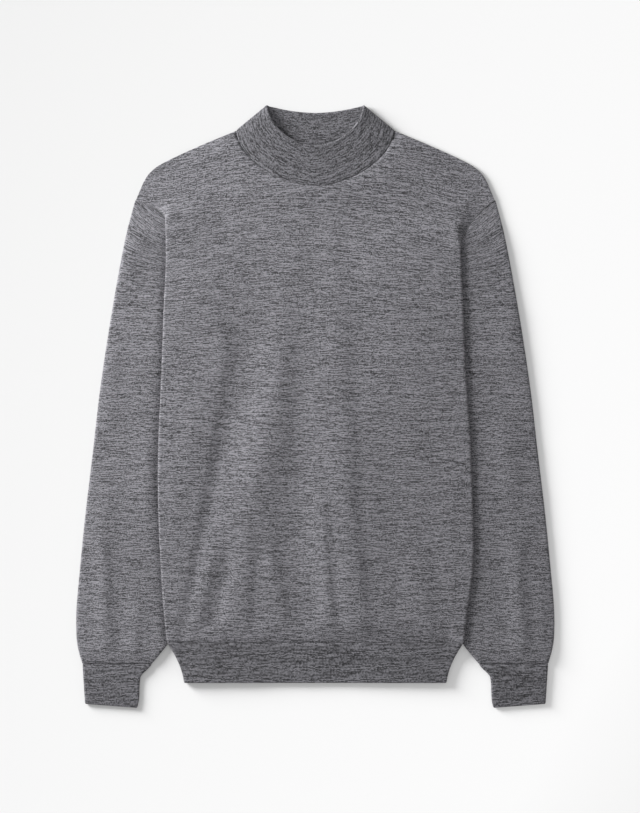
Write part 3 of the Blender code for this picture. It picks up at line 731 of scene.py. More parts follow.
@dataclass(frozen=True)
class YarnFinish:
    """A marl yarn knitted up: two greys in streaks along the rows, with the stitches in relief.

    A row's streaks run on for many stitches, and soft bands and single flecks are added to them. The
    hollows between the stitches' legs and between the ribs are darkened with painted shade.
    """

    name: str
    dark: Colour
    light: Colour
    streak: float
    contrast: float
    # How much the colour is darkened in the hollows between the loops: painted shade
    hollow: float
    relief: float
    ribbed: bool = False
    roughness: float = 0.92
    specular: float = 0.25
    sheen: float = 0.12
    sheen_roughness: float = 0.5
    slant: float = 0.9
    row_change: float = 7.31
    streak_detail: float = 3.0
    band_across: float = 0.028
    band_up: float = 0.17
    band_detail: float = 1.0
    middle_shade: float = 0.17
    streak_weight: float = 0.7
    next_row_weight: float = -0.35
    band_weight: float = 0.12
    fleck_weight: float = 0.18
    loop_across: float = 0.6
    loop_along: float = 0.5
    # The loop height below which the painted shade darkens the colour
    hollow_shade_top: float = 0.7
    loop_depth: float = 0.0005

    def material(self) -> bpy.types.Material:
        """Builds the finish.

        Returns:
            A node material that reads the piece's stitch map.
        """
        material = bpy.data.materials.new(self.name)
        material.use_nodes = True
        tree = material.node_tree
        shader = tree.nodes["Principled BSDF"]
        shader.inputs["Roughness"].default_value = self.roughness
        shader.inputs["Specular IOR Level"].default_value = self.specular
        shader.inputs["Sheen Weight"].default_value = self.sheen
        shader.inputs["Sheen Roughness"].default_value = self.sheen_roughness
        bench = NodeBench(tree)
        wale, course = bench.split(bench.stitch_map())
        leg = bench.math("ABSOLUTE", bench.math("SUBTRACT", bench.math("FRACT", wale), 0.5))
        slanted = bench.math("ADD", course, bench.math("MULTIPLY", leg, self.slant))
        yarn = self.marl(bench, wale, course, bench.math("FLOOR", slanted))
        loop = self.loop(bench, wale, leg, slanted)
        # Painted shade: the colour is darkened where the loops are low, in the hollows between them
        hollow = bench.ranged(loop, 0.0, self.hollow_shade_top, 1 - self.hollow, 1.0)
        tree.links.new(bench.scaled(yarn, hollow), shader.inputs["Base Color"])
        bump = tree.nodes.new("ShaderNodeBump")
        bump.inputs["Strength"].default_value = self.relief
        bump.inputs["Distance"].default_value = self.loop_depth
        tree.links.new(loop, bump.inputs["Height"])
        tree.links.new(bump.outputs["Normal"], shader.inputs["Normal"])
        return material

    def marl(self, bench: "NodeBench", wale: Socket, course: Socket, row: Socket) -> Socket:
        """Mixes the two greys.

        Args:
            bench: Where the nodes are added.
            wale: The point's place across, in stitches.
            course: Its place up, in stitches.
            row: The row of knitting that its yarn belongs to.

        Returns:
            The yarn's colour.
        """
        above = bench.math("ADD", row, 1.0)
        streak = bench.noise(wale, row, self.streak, self.row_change, self.streak_detail)
        next_streak = bench.noise(wale, above, self.streak, self.row_change, self.streak_detail)
        bands = bench.noise(wale, course, self.band_across, self.band_up, self.band_detail)
        flecks = bench.speckle(bench.math("FLOOR", wale), row)
        fibre = bench.math("MULTIPLY_ADD", streak, self.streak_weight, self.middle_shade)
        fibre = bench.math("MULTIPLY_ADD", next_streak, self.next_row_weight, fibre)
        fibre = bench.math("MULTIPLY_ADD", bands, self.band_weight, fibre)
        fibre = bench.math("MULTIPLY_ADD", flecks, self.fleck_weight, fibre)
        spread = 0.5 / self.contrast
        shade = bench.ranged(fibre, 0.5 - spread, 0.5 + spread)
        return bench.blend(shade, self.dark, self.light)

    def loop(self, bench: "NodeBench", wale: Socket, leg: Socket, slanted: Socket) -> Socket:
        """Rounds each stitch's legs, or each whole rib.

        Args:
            bench: Where the nodes are added.
            wale: The point's place across, in stitches.
            leg: Its distance from the stitch's middle, in stitches.
            slanted: Its place up along the stitch's slanted legs.

        Returns:
            The height, from 0 in the hollows to 1.
        """
        along = bench.math("SINE", bench.math("MULTIPLY", bench.math("FRACT", slanted), math.pi))
        if self.ribbed:
            across = bench.math("COSINE", bench.math("MULTIPLY", wale, 2 * math.pi))
            across = bench.math("ADD", bench.math("MULTIPLY", across, 0.5), 0.5)
        else:
            across = bench.math("SINE", bench.math("MULTIPLY", leg, 2 * math.pi))
        across = bench.math("POWER", across, self.loop_across)
        return bench.math("MULTIPLY", across, bench.math("POWER", along, self.loop_along))


class NodeBench:
    """Short ways to add the nodes that the finishes are made of."""

    def __init__(self, tree: bpy.types.NodeTree) -> None:
        """Stores the tree that the nodes go into."""
        self.tree = tree

    def feed(self, socket: Socket, value: Socket | float) -> None:
        """Links an input to an output, or sets its value.

        Args:
            socket: The input.
            value: The output that it is linked to, or its value.
        """
        if isinstance(value, Socket):
            self.tree.links.new(value, socket)
        else:
            socket.default_value = value

    def stitch_map(self) -> Socket:
        """Returns the piece's stitch map, one unit a stitch each way."""
        node = self.tree.nodes.new("ShaderNodeUVMap")
        node.uv_map = "UVMap"
        return node.outputs["UV"]

    def split(self, vector: Socket) -> tuple[Socket, Socket]:
        """Takes a vector apart.

        Args:
            vector: The vector.

        Returns:
            Its X and Y.
        """
        node = self.tree.nodes.new("ShaderNodeSeparateXYZ")
        self.feed(node.inputs[0], vector)
        return node.outputs["X"], node.outputs["Y"]

    def math(self, action: str, *values: Socket | float) -> Socket:
        """Adds a Math node.

        Args:
            action: What it does.
            values: What its inputs are given, in order.

        Returns:
            Its result.
        """
        node = self.tree.nodes.new("ShaderNodeMath")
        node.operation = action
        for socket, value in zip(node.inputs, values):
            self.feed(socket, value)
        return node.outputs[0]

    def noise(self, wale: Socket, course: Socket, across: float, up: float, detail: float) -> Socket:
        """Adds noise over the stitches.

        Args:
            wale: The place across, in stitches.
            course: The place up, in stitches.
            across: How fast the noise changes across.
            up: How fast it changes upwards.
            detail: How many finer layers it has.

        Returns:
            The noise, from 0 to 1.
        """
        place = self.tree.nodes.new("ShaderNodeCombineXYZ")
        self.feed(place.inputs["X"], self.math("MULTIPLY", wale, across))
        self.feed(place.inputs["Y"], self.math("MULTIPLY", course, up))
        node = self.tree.nodes.new("ShaderNodeTexNoise")
        node.noise_dimensions = "2D"
        node.inputs["Scale"].default_value = 1.0
        node.inputs["Detail"].default_value = detail
        node.inputs["Roughness"].default_value = NOISE_ROUGHNESS
        self.feed(node.inputs["Vector"], place.outputs[0])
        return node.outputs[0]

    def speckle(self, wale: Socket, row: Socket) -> Socket:
        """Adds a random value for each stitch.

        Args:
            wale: The stitch's number across.
            row: Its number upwards.

        Returns:
            The stitch's own value, from 0 to 1.
        """
        place = self.tree.nodes.new("ShaderNodeCombineXYZ")
        self.feed(place.inputs["X"], wale)
        self.feed(place.inputs["Y"], row)
        node = self.tree.nodes.new("ShaderNodeTexWhiteNoise")
        node.noise_dimensions = "2D"
        self.feed(node.inputs["Vector"], place.outputs[0])
        return node.outputs["Value"]

    def ranged(
        self,
        value: Socket,
        low: float,
        high: float,
        to_low: float = 0.0,
        to_high: float = 1.0,
    ) -> Socket:
        """Brings a value from one range to another, and holds it inside that.

        Args:
            value: The value.
            low: The first range's low end.
            high: Its high end.
            to_low: What the low end becomes.
            to_high: What the high end becomes.

        Returns:
            The value in the second range.
        """
        node = self.tree.nodes.new("ShaderNodeMapRange")
        self.feed(node.inputs["Value"], value)
        node.inputs["From Min"].default_value = low
        node.inputs["From Max"].default_value = high
        node.inputs["To Min"].default_value = to_low
        node.inputs["To Max"].default_value = to_high
        return node.outputs["Result"]

    def blend(self, share: Socket, low: Colour, high: Colour) -> Socket:
        """Blends two colours.

        Args:
            share: The second colour's share.
            low: The first colour.
            high: The second colour.

        Returns:
            The colour between them.
        """
        node = self.tree.nodes.new("ShaderNodeMix")
        node.data_type = "RGBA"
        self.feed(node.inputs["Factor"], share)
        node.inputs[LOW_COLOUR_INPUT].default_value = (*low, 1)
        node.inputs[HIGH_COLOUR_INPUT].default_value = (*high, 1)
        return node.outputs[COLOUR_OUTPUT]

    def scaled(self, colour: Socket, share: Socket) -> Socket:
        """Darkens a colour.

        Args:
            colour: The colour.
            share: How much of it is left.

        Returns:
            The darker colour.
        """
        node = self.tree.nodes.new("ShaderNodeVectorMath")
        node.operation = "SCALE"
        self.feed(node.inputs[0], colour)
        self.feed(node.inputs["Scale"], share)
        return node.outputs[0]


@dataclass(frozen=True)
class Cut:
    """The flat piece that was knitted: its width and length, and its area in square metres."""

    width: float
    length: float
    area: float


class LaidCloth:
    """A wall of cloth made from a grid of points."""

    def __init__(self, name: str, points: Array, stitches: Array, wall: float) -> None:
        """Stores the cloth's middle surface.

        Args:
            name: The piece's name.
            points: Rows by columns of points.
            stitches: The stitch map at each point; a tube's has one column more.
            wall: The cloth's thickness.
        """
        self.name = name
        self.points = points
        self.stitches = stitches
        self.wall = wall
        self.wraps = stitches.shape[1] == points.shape[1] + 1

    def closed(self, values: Array) -> Array:
        """Returns values at the grid's points with a tube's first column repeated at its end."""
        return np.concatenate([values, values[:, :1]], axis=1) if self.wraps else values

    def weigh(self, piece: bpy.types.Object, name: str, values: Array) -> str:
        """Stores values from 0 to 1 at the grid's points.

        Args:
            piece: The object that the grid's mesh is in.
            name: The name to store them under.
            values: The values, rows by columns.

        Returns:
            The name of the vertex group.
        """
        group = piece.vertex_groups.new(name=name)
        flat = np.round(self.closed(values).ravel(), 2)
        for share in np.unique(flat):
            group.add(np.flatnonzero(flat == share).tolist(), float(share), "REPLACE")
        return group.name

    def lay(
        self,
        thickness: Array,
        finish: bpy.types.Material,
        relief: Array | None = None,
        relief_height: float = 0.0,
    ) -> bpy.types.Object:
        """Makes the mesh from a grid primitive, gives it its wall and dresses it.

        Args:
            thickness: The share of the wall's thickness at each point.
            finish: The piece's material.
            relief: How far ribs stand out at each point, from 0 to 1.
            relief_height: How far they stand out at 1, on both faces of the wall.

        Returns:
            The finished object.
        """
        points = self.closed(self.points)
        rows, columns = points.shape[:2]
        bpy.ops.object.select_all(action="DESELECT")
        bpy.ops.mesh.primitive_grid_add(x_subdivisions=columns - 1, y_subdivisions=rows - 1, size=1)
        piece = bpy.context.active_object
        piece.name = self.name
        piece.data.name = self.name
        mesh = piece.data
        placed = points + np.array([0.0, LAID_SHIFT_Y, 0.0])
        mesh.vertices.foreach_set("co", (placed * MM).ravel())
        corners = np.empty(len(mesh.loops), dtype=np.int32)
        mesh.loops.foreach_get("vertex_index", corners)
        mesh.uv_layers[0].data.foreach_set("uv", self.stitches.reshape(-1, 2)[corners].ravel())
        wall_group = self.weigh(piece, "wall", thickness)
        rib_group = "" if relief is None else self.weigh(piece, "ribs", relief)
        if self.wraps:
            bpy.ops.object.mode_set(mode="EDIT")
            bpy.ops.mesh.select_all(action="SELECT")
            bpy.ops.mesh.remove_doubles(threshold=SAME_PLACE)
            bpy.ops.object.mode_set(mode="OBJECT")
        wall = piece.modifiers.new("Wall", "SOLIDIFY")
        wall.thickness = self.wall * MM
        wall.offset = 0
        wall.vertex_group = wall_group
        if rib_group:
            ribs = piece.modifiers.new("Ribs", "DISPLACE")
            ribs.vertex_group = rib_group
            ribs.strength = relief_height * MM
            ribs.mid_level = 0.0
        for name in [modifier.name for modifier in piece.modifiers]:
            bpy.ops.object.modifier_apply(modifier=name)
        bpy.ops.object.shade_smooth()
        piece.location = (0, 0, 0)
        piece.data.materials.append(finish)
        return piece

    def middle_area(self) -> float:
        """Returns the area of the middle surface, in square metres."""
        points = self.closed(self.points)
        one = points[1:, 1:] - points[:-1, :-1]
        two = points[1:, :-1] - points[:-1, 1:]
        return float(np.linalg.norm(np.cross(one, two), axis=2).sum() / 2) * MM * MM


@dataclass(frozen=True)
class Declared:
    """What is kept about a finished piece; tell uses only its node."""

    node: str
    slot: str
    cut: Cut
    held: str
    rests_on: tuple[str, ...]

    def tell(self, piece: bpy.types.Object) -> None:
        """Parents the piece to the root's empty and hides the imported part that it replaces.

        Args:
            piece: The finished piece.
        """
        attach(piece, ROOT_BODY)
        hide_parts(self.node)
        log.info("%s laid, %d faces", piece.name, len(piece.data.polygons))


FRONT_CREASES: tuple[tuple[CreasePoint, ...], ...] = (
    crease((-184, -294, 0), (-184, 200, 0)),
    crease((-181, -262, 0), (-177, -166, 0.2), (-168, -104, 0.6), (-156, -41, 1.1), (-138, 21, 0.3),
           (-135, 84, -0.9), (-150, 146, 0.8), (-150, 200, 0)),
    crease((-166, -294, -1.7), (-157, -216, -2.5), (-150, -166, -3), (-131, -104, -3.3),
           (-113, -41, -2.8), (-99, 21, -3.3), (-89, 84, -3.1), (-75, 146, -0.5), (-75, 200, 0)),
    crease((-95, -294, 1.2), (-87, -216, 1.8), (-81, -166, 2.2), (-72, -104, 4.2),
           (-56, -41, 5.9), (-47, 21, 3.4), (-43, 84, 1.4), (-40, 146, 0.4), (-40, 200, 0)),
    crease((-18, -294, -0.6), (-25, -216, -1.2), (-28, -166, -1.1), (-26, -104, 0.8),
           (-20, -41, 2.3), (-19, 21, 0.8), (-12, 84, -0.5), (-14, 146, -0.4), (-14, 200, 0)),
    crease((62, -294, 4.6), (58, -262, 6.2), (51, -216, 6.5), (46, -166, 5.9), (40, -104, 6.5),
           (37, -41, 6.2), (32, 21, 3.6), (30, 84, 2), (26, 146, 0.8), (24, 200, 0)),
    crease((84, -294, 2.8), (80, -262, 3.6), (72, -216, 2.9), (66, -166, 2.8), (62, -104, 3.3),
           (61, -41, 3.4), (55, 21, 1.4), (52, 84, 0.2), (51, 146, -0.3), (48, 200, 0)),
    crease((110, -294, 1.9), (104, -216, 1.9), (106, -166, 0.9), (104, -104, 1.4), (96, -41, 2.2),
           (88, 21, 1.9), (96, 84, 1.1), (90, 146, 0.5), (90, 200, 0)),
    crease((178, -294, 0), (178, 200, 0)),
)
FRONT_FOLDS: tuple[SoftFold, ...] = (
    SoftFold(
        crest=((-126, -140), (-129, -166), (-133, -204), (-143, -241), (-150, -285)),
        height=2.3, near=10, far=9, fade_in=0.4, fade_out=0.1,
    ),
    SoftFold(
        crest=((-104, -140), (-107, -166), (-109, -204), (-119, -241), (-130, -285)),
        height=-2.2, near=10, far=10, fade_in=0.4, fade_out=0.1,
    ),
    SoftFold(
        crest=((-73, -140), (-73, -204), (-74, -241), (-74, -285)),
        height=-1.8, near=9, far=9, fade_in=0.4, fade_out=0.1,
    ),
    SoftFold(
        crest=((-57, -140), (-52, -204), (-44, -241), (-42, -285)),
        height=1.3, near=10, far=9, fade_in=0.4, fade_out=0.1,
    ),
    SoftFold(
        crest=((2, -60), (4, -104), (8, -150), (11, -204), (16, -241), (18, -285)),
        height=2.0, near=13, far=9, fade_in=0.4, fade_out=0.1,
    ),
    SoftFold(
        crest=((20, -160), (24, -204), (27, -241), (31, -285)),
        height=-1.6, near=7, far=7, fade_in=0.5, fade_out=0.1,
    ),
    SoftFold(
        crest=((131, -190), (135, -245), (140, -285)),
        height=1.7, near=13, far=9, fade_in=0.5, fade_out=0.1,
    ),
    SoftFold(crest=((-26, 225), (-24, 178), (-36, 140)), height=0.9, near=14, far=14),
    SoftFold(crest=((60, 220), (110, 200), (150, 214)), height=0.8, near=16, far=16),
)
SLEEVE_FOLDS: dict[Side, tuple[SoftFold, ...]] = {
    Side.LEFT: (
        SoftFold(crest=((232, 0), (243, -72), (247, -140)), height=1.8, near=14, far=14),
        SoftFold(
            crest=((246, -120), (252, -197), (256, -255), (259, -318)),
            height=3.2, near=13, far=14, fade_in=0.5, fade_out=0.12, low_width=0.8,
        ),
        SoftFold(crest=((236, 150), (246, 90), (254, 30)), height=1.4, near=14, far=12),
        SoftFold(crest=((278, -190), (284, -250), (280, -316)), height=1.2, near=8, far=8, fade_out=0.15),
    ),
    Side.RIGHT: (
        SoftFold(
            crest=((220, 244), (230, 215), (241, 170), (249, 125)),
            height=3.0, near=24, far=12, fade_in=0.2, fade_out=0.5,
        ),
        SoftFold(crest=((244, 110), (256, 20), (262, -60)), height=1.3, near=12, far=13),
        SoftFold(
            crest=((264, -60), (266, -166), (265, -240), (260, -318)),
            height=2.6, near=13, far=13, fade_in=0.5, fade_out=0.12, low_width=0.8,
        ),
        SoftFold(crest=((212, -20), (209, -72), (212, -160)), height=1.6, near=10, far=12),
        SoftFold(
            crest=((222, -225), (224, -260), (228, -318)),
            height=1.8, near=9, far=9, fade_in=0.5, fade_out=0.12,
        ),
    ),
}


class PanelRow(NamedTuple):
    """A row of a panel: its height at the middle and the edge, and how it ends and bends."""

    middle_y: float
    edge_y: float
    seam_x: float | None
    shoulder_share: float
    roundness: float


@dataclass
class BodyPanel:
    """The front or the back, from seam to seam, with its two folded sides."""

    shape: LaidShape
    node: str
    neck_drop: float
    ply: int
    cut: Cut
    spacing: float
    stitches: Stitches
    hem_puff: float = 1.2
    hem_puff_length: float = 34.0
    hem_fade: float = 26.0
    pucker_share: float = 0.5
    pucker_width: float = 9.0
    pucker_drift: float = 31.0
    pucker_phase: float = 1.0
    swell: Swell = Swell(height=0.25, size=26.0, phase=0.4)
    groove: float = 0.1
    neck_scale: float = 60.0
    neck_rise_reach: float = 0.9
    neck_free_reach: float = 0.25
    shoulder_curl: float = 3.5
    shoulder_blend: float = 0.12
    step_width: float = 8.0
    step_groove_width: float = 2.0
    release: float = 14.0
    bend_steps: int = 12
    tail_steps: int = 12
    column_span: float = 186.0
    straight_top_y: float = 141.3
    hem_rows: tuple[float, ...] = (0.0, 0.8, 1.8)
    even_rows_from: float = 3.5
    fine_spacing: float = 3.0
    fold_rows: int = 26
    armhole_rows: int = 20
    shoulder_rows: int = 38
    bow: float = 15.0
    bow_start_y: float = 60.0
    bow_length: float = 180.0
    bow_half_width: float = 150.0

    def height(self, side: Side, x: Array, y: Array) -> Array:
        """Works out the panel's height above the floor.

        Args:
            side: The half that the points are in.
            x: Distance from the middle line.
            y: Height along the garment.

        Returns:
            The height of the cloth's middle surface.
        """
        shape = self.shape
        lift = shape.sleeve_lift(side, x, y) + shape.flap_lift(side, x, y)
        base = shape.knit / 2 + shape.stack_share(side, x, y, self.ply) * lift
        if self.ply:
            return base
        ring = shape.neck_ring(x, y)
        inside = shape.inside(self.limit(side, y), x) * ease((ring - 1) / self.neck_free_reach)
        free = settled(shape.span(side, x, y) + self.soft(side.value * x, y))
        rise = (shape.neck_rise(y) + self.groove) * (1 - ease((ring - 1) / self.neck_rise_reach))
        to_hem = bell(y - shape.hem_seam_y, SEAM_WIDTH)
        to_neck = bell((ring - 1) * self.neck_scale, SEAM_WIDTH)
        groove = self.groove * (to_hem + to_neck)
        return base + shape.ply + inside * free + rise - groove

    def limit(self, side: Side, y: Array) -> Array:
        """Works out where the front's free cloth ends at the fold, the armhole and the shoulder.

        Args:
            side: The half that the points are in.
            y: Height along the garment.

        Returns:
            The distance from the middle line.
        """
        shape = self.shape
        seam = shape.armhole_x(side, np.minimum(y, shape.shoulder_tip_y))
        low = mix(shape.fold_x(side, y), seam - self.shoulder_curl, shape.opened(side, y))
        high = shape.edge_x(shape.shoulder, np.maximum(y, shape.shoulder_tip_y))
        return np.where(y < shape.shoulder_tip_y, low, high - self.shoulder_curl)

    def soft(self, x: Array, y: Array) -> Array:
        """Works out the front's own soft folds and the uneven puff above the hem band.

        Args:
            x: Signed distance from the middle line.
            y: Height along the garment.

        Returns:
            The height above or below the cloth's level.
        """
        over_hem = y - self.shape.hem_seam_y
        up = np.clip(over_hem / self.hem_puff_length, 0, 1)
        drift = np.sin(x / self.pucker_drift + self.pucker_phase)
        uneven = 1 + self.pucker_share * np.sin(x / self.pucker_width) * drift
        puff = self.hem_puff * np.sin(np.pi * up**PUFF_LEAN) * uneven
        folds = profile_of(FRONT_CREASES, x, y) + lift_of(FRONT_FOLDS, x, y)
        return (folds + self.swell.at(x, y)) * ease(over_hem / self.hem_fade) + puff

    def folded(self, side: Side, y: float) -> Array:
        """Lays out a folded edge: a half turn, and a flap that runs back in to the seam.

        Args:
            side: The half that the edge is in.
            y: Its height along the garment.

        Returns:
            Points (x, z).
        """
        shape = self.shape
        start = float(shape.fold_x(side, y)) - shape.fold_radius
        lift = float(shape.sleeve_lift(side, np.array(start), np.array(y)))
        middle = shape.knit / 2 + lift + shape.fold_radius
        radius = shape.fold_radius - self.ply * shape.ply
        turn = pressed(start, middle, radius, 90, -90, self.bend_steps)
        seam = float(shape.flap_x(side, y)) + shape.seam / 2
        xs = np.linspace(start, seam, self.tail_steps + 1)[1:]
        sleeve = shape.sleeve_lift(side, xs, np.full_like(xs, y))
        zs = shape.knit / 2 + self.ply * shape.ply + sleeve
        return np.concatenate([turn, np.stack([xs, zs], axis=-1)])

    def hung(self, side: Side, y: float, seam: float) -> Array:
        """Lays out the edge where the fold begins: a quarter turn down to the armhole seam.

        Args:
            side: The half that the edge is in.
            y: Its height along the garment.
            seam: The armhole seam's distance from the middle line.

        Returns:
            Points (x, z).
        """
        shape = self.shape
        start = float(shape.fold_x(side, y)) - shape.fold_radius
        radius = shape.fold_radius - self.ply * shape.ply
        middle = shape.knit / 2 + 2 * shape.ply + shape.fold_radius
        low = 2 * shape.ply + shape.seam + self.ply * shape.ply
        quarter = self.bend_steps // 2
        turn = pressed(start, middle, radius, 90, 0, quarter)
        steps = self.bend_steps + self.tail_steps - quarter
        end = max(seam - shape.inner_step * self.ply, start + radius)
        xs = np.linspace(start + radius, end, steps + 1)[1:]
        zs = np.linspace(middle, low, steps + 1)[1:]
        return np.concatenate([turn, np.stack([xs, zs], axis=-1)])

    def stepped(self, side: Side, y: float, seam: float) -> Array:
        """Lays out the edge above the fold: the cloth steps down to the seam beside it.

        Args:
            side: The half that the edge is in.
            y: Its height along the garment.
            seam: The armhole seam's distance from the middle line.

        Returns:
            Points (x, z).
        """
        shape = self.shape
        end = seam - shape.seam / 2 - shape.inner_step * self.ply
        folded_x = float(shape.fold_x(side, y)) - shape.fold_radius
        start = float(mix(folded_x, end - self.step_width, shape.opened(side, y)))
        xs = np.linspace(start, end, self.bend_steps + self.tail_steps + 1)
        groove = self.groove * bell(end - xs, self.step_groove_width)
        return np.stack([xs, self.height(side, xs, np.full_like(xs, y)) - groove], axis=-1)

    def curled(self, side: Side, x: float, y: float) -> Array:
        """Lays out the shoulder's edge: the front curls down onto the edge of the back.

        Args:
            side: The half that the edge is in.
            x: The edge's distance from the middle line.
            y: Its height along the garment.

        Returns:
            Points (x, z).
        """
        shape = self.shape
        steps = self.bend_steps + self.tail_steps
        start = x - self.shoulder_curl
        reach = self.shoulder_curl - shape.knit / 2
        if self.ply:
            xs = start + reach * np.linspace(0, 1, steps + 1)
            return np.stack([xs, np.full_like(xs, shape.knit / 2)], axis=-1)
        top = float(self.height(side, np.array(start), np.array(y)))
        angles = np.linspace(np.pi / 2, 0, steps + 1)
        on_back = shape.knit / 2 + shape.knit + shape.seam
        drop = mix(on_back, top, firm(np.sin(angles)))
        return np.stack([start + reach * firm(np.cos(angles)), drop], axis=-1)

    def edge_path(self, side: Side, x: float | None, y: float, share: float) -> Array:
        """Returns a row's edge, from where the panel turns to its seam.

        Args:
            side: The half that the row is in.
            x: The seam's distance from the middle line, or None below the fold's start.
            y: The row's height at its edge.
            share: How far up the shoulder the row ends, and 0 below it.

        Returns:
            Points (x, z).
        """
        start = self.shape.fold_start(side)
        if share > 0:
            tip = self.shape.shoulder[0]
            above = self.curled(side, x, y)
            if share >= self.shoulder_blend:
                return above
            below = self.stepped(side, min(y, tip.y), x)
            return mix(below, above, ease(share / self.shoulder_blend))
        seam = float(self.shape.armhole_x(side, y)) if x is None else x
        if y < start - self.release:
            return self.folded(side, y)
        if y < start:
            share_hung = ease((y - start + self.release) / self.release)
            return mix(self.folded(side, y), self.hung(side, y, seam), share_hung)
        if y < start + self.release / 2:
            share_stepped = ease((y - start) / (self.release / 2))
            return mix(self.hung(side, y, seam), self.stepped(side, y, seam), share_stepped)
        return self.stepped(side, y, seam)

    def stations(self, side: Side) -> list[PanelRow]:
        """Places the rows: straight ones first, then ones that bend up to the neck and shoulder.

        Args:
            side: The half that the rows are in.

        Returns:
            The rows, from the hem up.
        """
        shape = self.shape
        first = shape.hem_seam_y + shape.joint
        even = np.arange(self.even_rows_from, self.straight_top_y - first, self.spacing)
        rows = [PanelRow(first + up, first + up, None, 0.0, 1.0) for up in (*self.hem_rows, *even)]
        straight = rows[-1].edge_y
        start, begin = shape.fold_start(side), shape.fold_start_share(side)
        scale = self.spacing / self.fine_spacing
        folds, opens = int(self.fold_rows / scale), int(self.armhole_rows / scale)
        shoulders = int(self.shoulder_rows / scale)
        edges: list[tuple[float, float | None, float]] = []
        for k in range(1, folds + 1):
            edges.append((mix(straight, start, k / folds), None, 0.0))
        for k in range(1, opens + 1):
            x, y = shape.armhole_curve(side).point(mix(begin, 1, k / opens))
            edges.append((float(y), float(x), 0.0))
        outline = OutlineCurve(shape.shoulder)
        for k in range(1, shoulders + 1):
            x, y = outline.point(k / shoulders)
            edges.append((float(y), float(x), k / shoulders))
        for k, (y, x, share) in enumerate(edges):
            up = (k + 1) / len(edges)
            middle = mix(straight, shape.neck_point_y - self.neck_drop, up)
            rows.append(PanelRow(middle, y, x, share, mix(1, shape.neck_roundness, up**4)))
        return rows

    def half(self, side: Side) -> tuple[Array, Array, Array]:
        """Lays out one half.

        Args:
            side: Which half.

        Returns:
            X from the middle line, Y and Z, each rows by columns from the middle to the seam.
        """
        columns = np.linspace(0, 1, int(self.column_span / self.spacing) + 1)
        all_x, all_y, all_z = [], [], []
        for row in self.stations(side):
            path = self.edge_path(side, row.seam_x, row.edge_y, row.shoulder_share)
            start_x = path[0, 0]
            xs = np.concatenate([columns * start_x, path[1:, 0]])
            if row.seam_x is None:
                bend = row_bend(xs / start_x, row.roundness)
                bend[len(columns):] = 1.0
            else:
                end_x = path[-1, 0] if row.shoulder_share > 0 else row.seam_x
                bend = row_bend(xs / end_x, row.roundness)
            all_x.append(xs)
            all_y.append(mix(row.middle_y, row.edge_y, bend))
            all_z.append(np.concatenate([np.full(len(columns), np.nan), path[1:, 1]]))
        x, y, z = np.array(all_x), np.array(all_y), np.array(all_z)
        return x, y, np.where(np.isnan(z), self.height(side, x, y), z)

    def stitch_map(self, side: Side, x: Array, y: Array, z: Array) -> Array:
        """Counts the stitches from the middle line out, in courses that arch over the chest.

        Args:
            side: The half that the points are in.
            x: Distance from the middle line.
            y: Height along the garment.
            z: Height above the floor.

        Returns:
            The wale and course at each point.
        """
        steps = np.hypot(np.diff(x, axis=1), np.diff(z, axis=1))
        along = np.concatenate([np.zeros((len(x), 1)), np.cumsum(steps, axis=1)], axis=1)
        shown_x = np.minimum(x, self.shape.fold_x(side, y))
        arch = self.bow * ease((y - self.bow_start_y) / self.bow_length)
        course = (y + arch * (shown_x / self.bow_half_width) ** 2) / self.stitches.course
        return np.stack([side.value * along / self.stitches.wale, course], axis=-1)

    def build(
        self, finish: bpy.types.Material, held: str, rests_on: tuple[str, ...]
    ) -> bpy.types.Object:
        """Makes the panel.

        Args:
            finish: The knit's material.
            held: How the cloth is held.
            rests_on: What it lies on.

        Returns:
            The finished object.
        """
        halves = {}
        for side in Side:
            x, y, z = self.half(side)
            places = np.stack([side.value * x, y, z], axis=-1)
            halves[side] = np.concatenate([places, self.stitch_map(side, x, y, z)], axis=-1)
        both = np.concatenate([halves[Side.RIGHT][:, :0:-1], halves[Side.LEFT]], axis=1)
        cloth = LaidCloth("knit_" + self.node, both[..., :3], both[..., 3:], self.shape.knit)
        piece = cloth.lay(np.ones(both.shape[:2]), finish)
        log.info("%s middle surface %.4f m2", self.node, cloth.middle_area())
        Declared(self.node, "body_knit", self.cut, held, rests_on).tell(piece)
        return piece


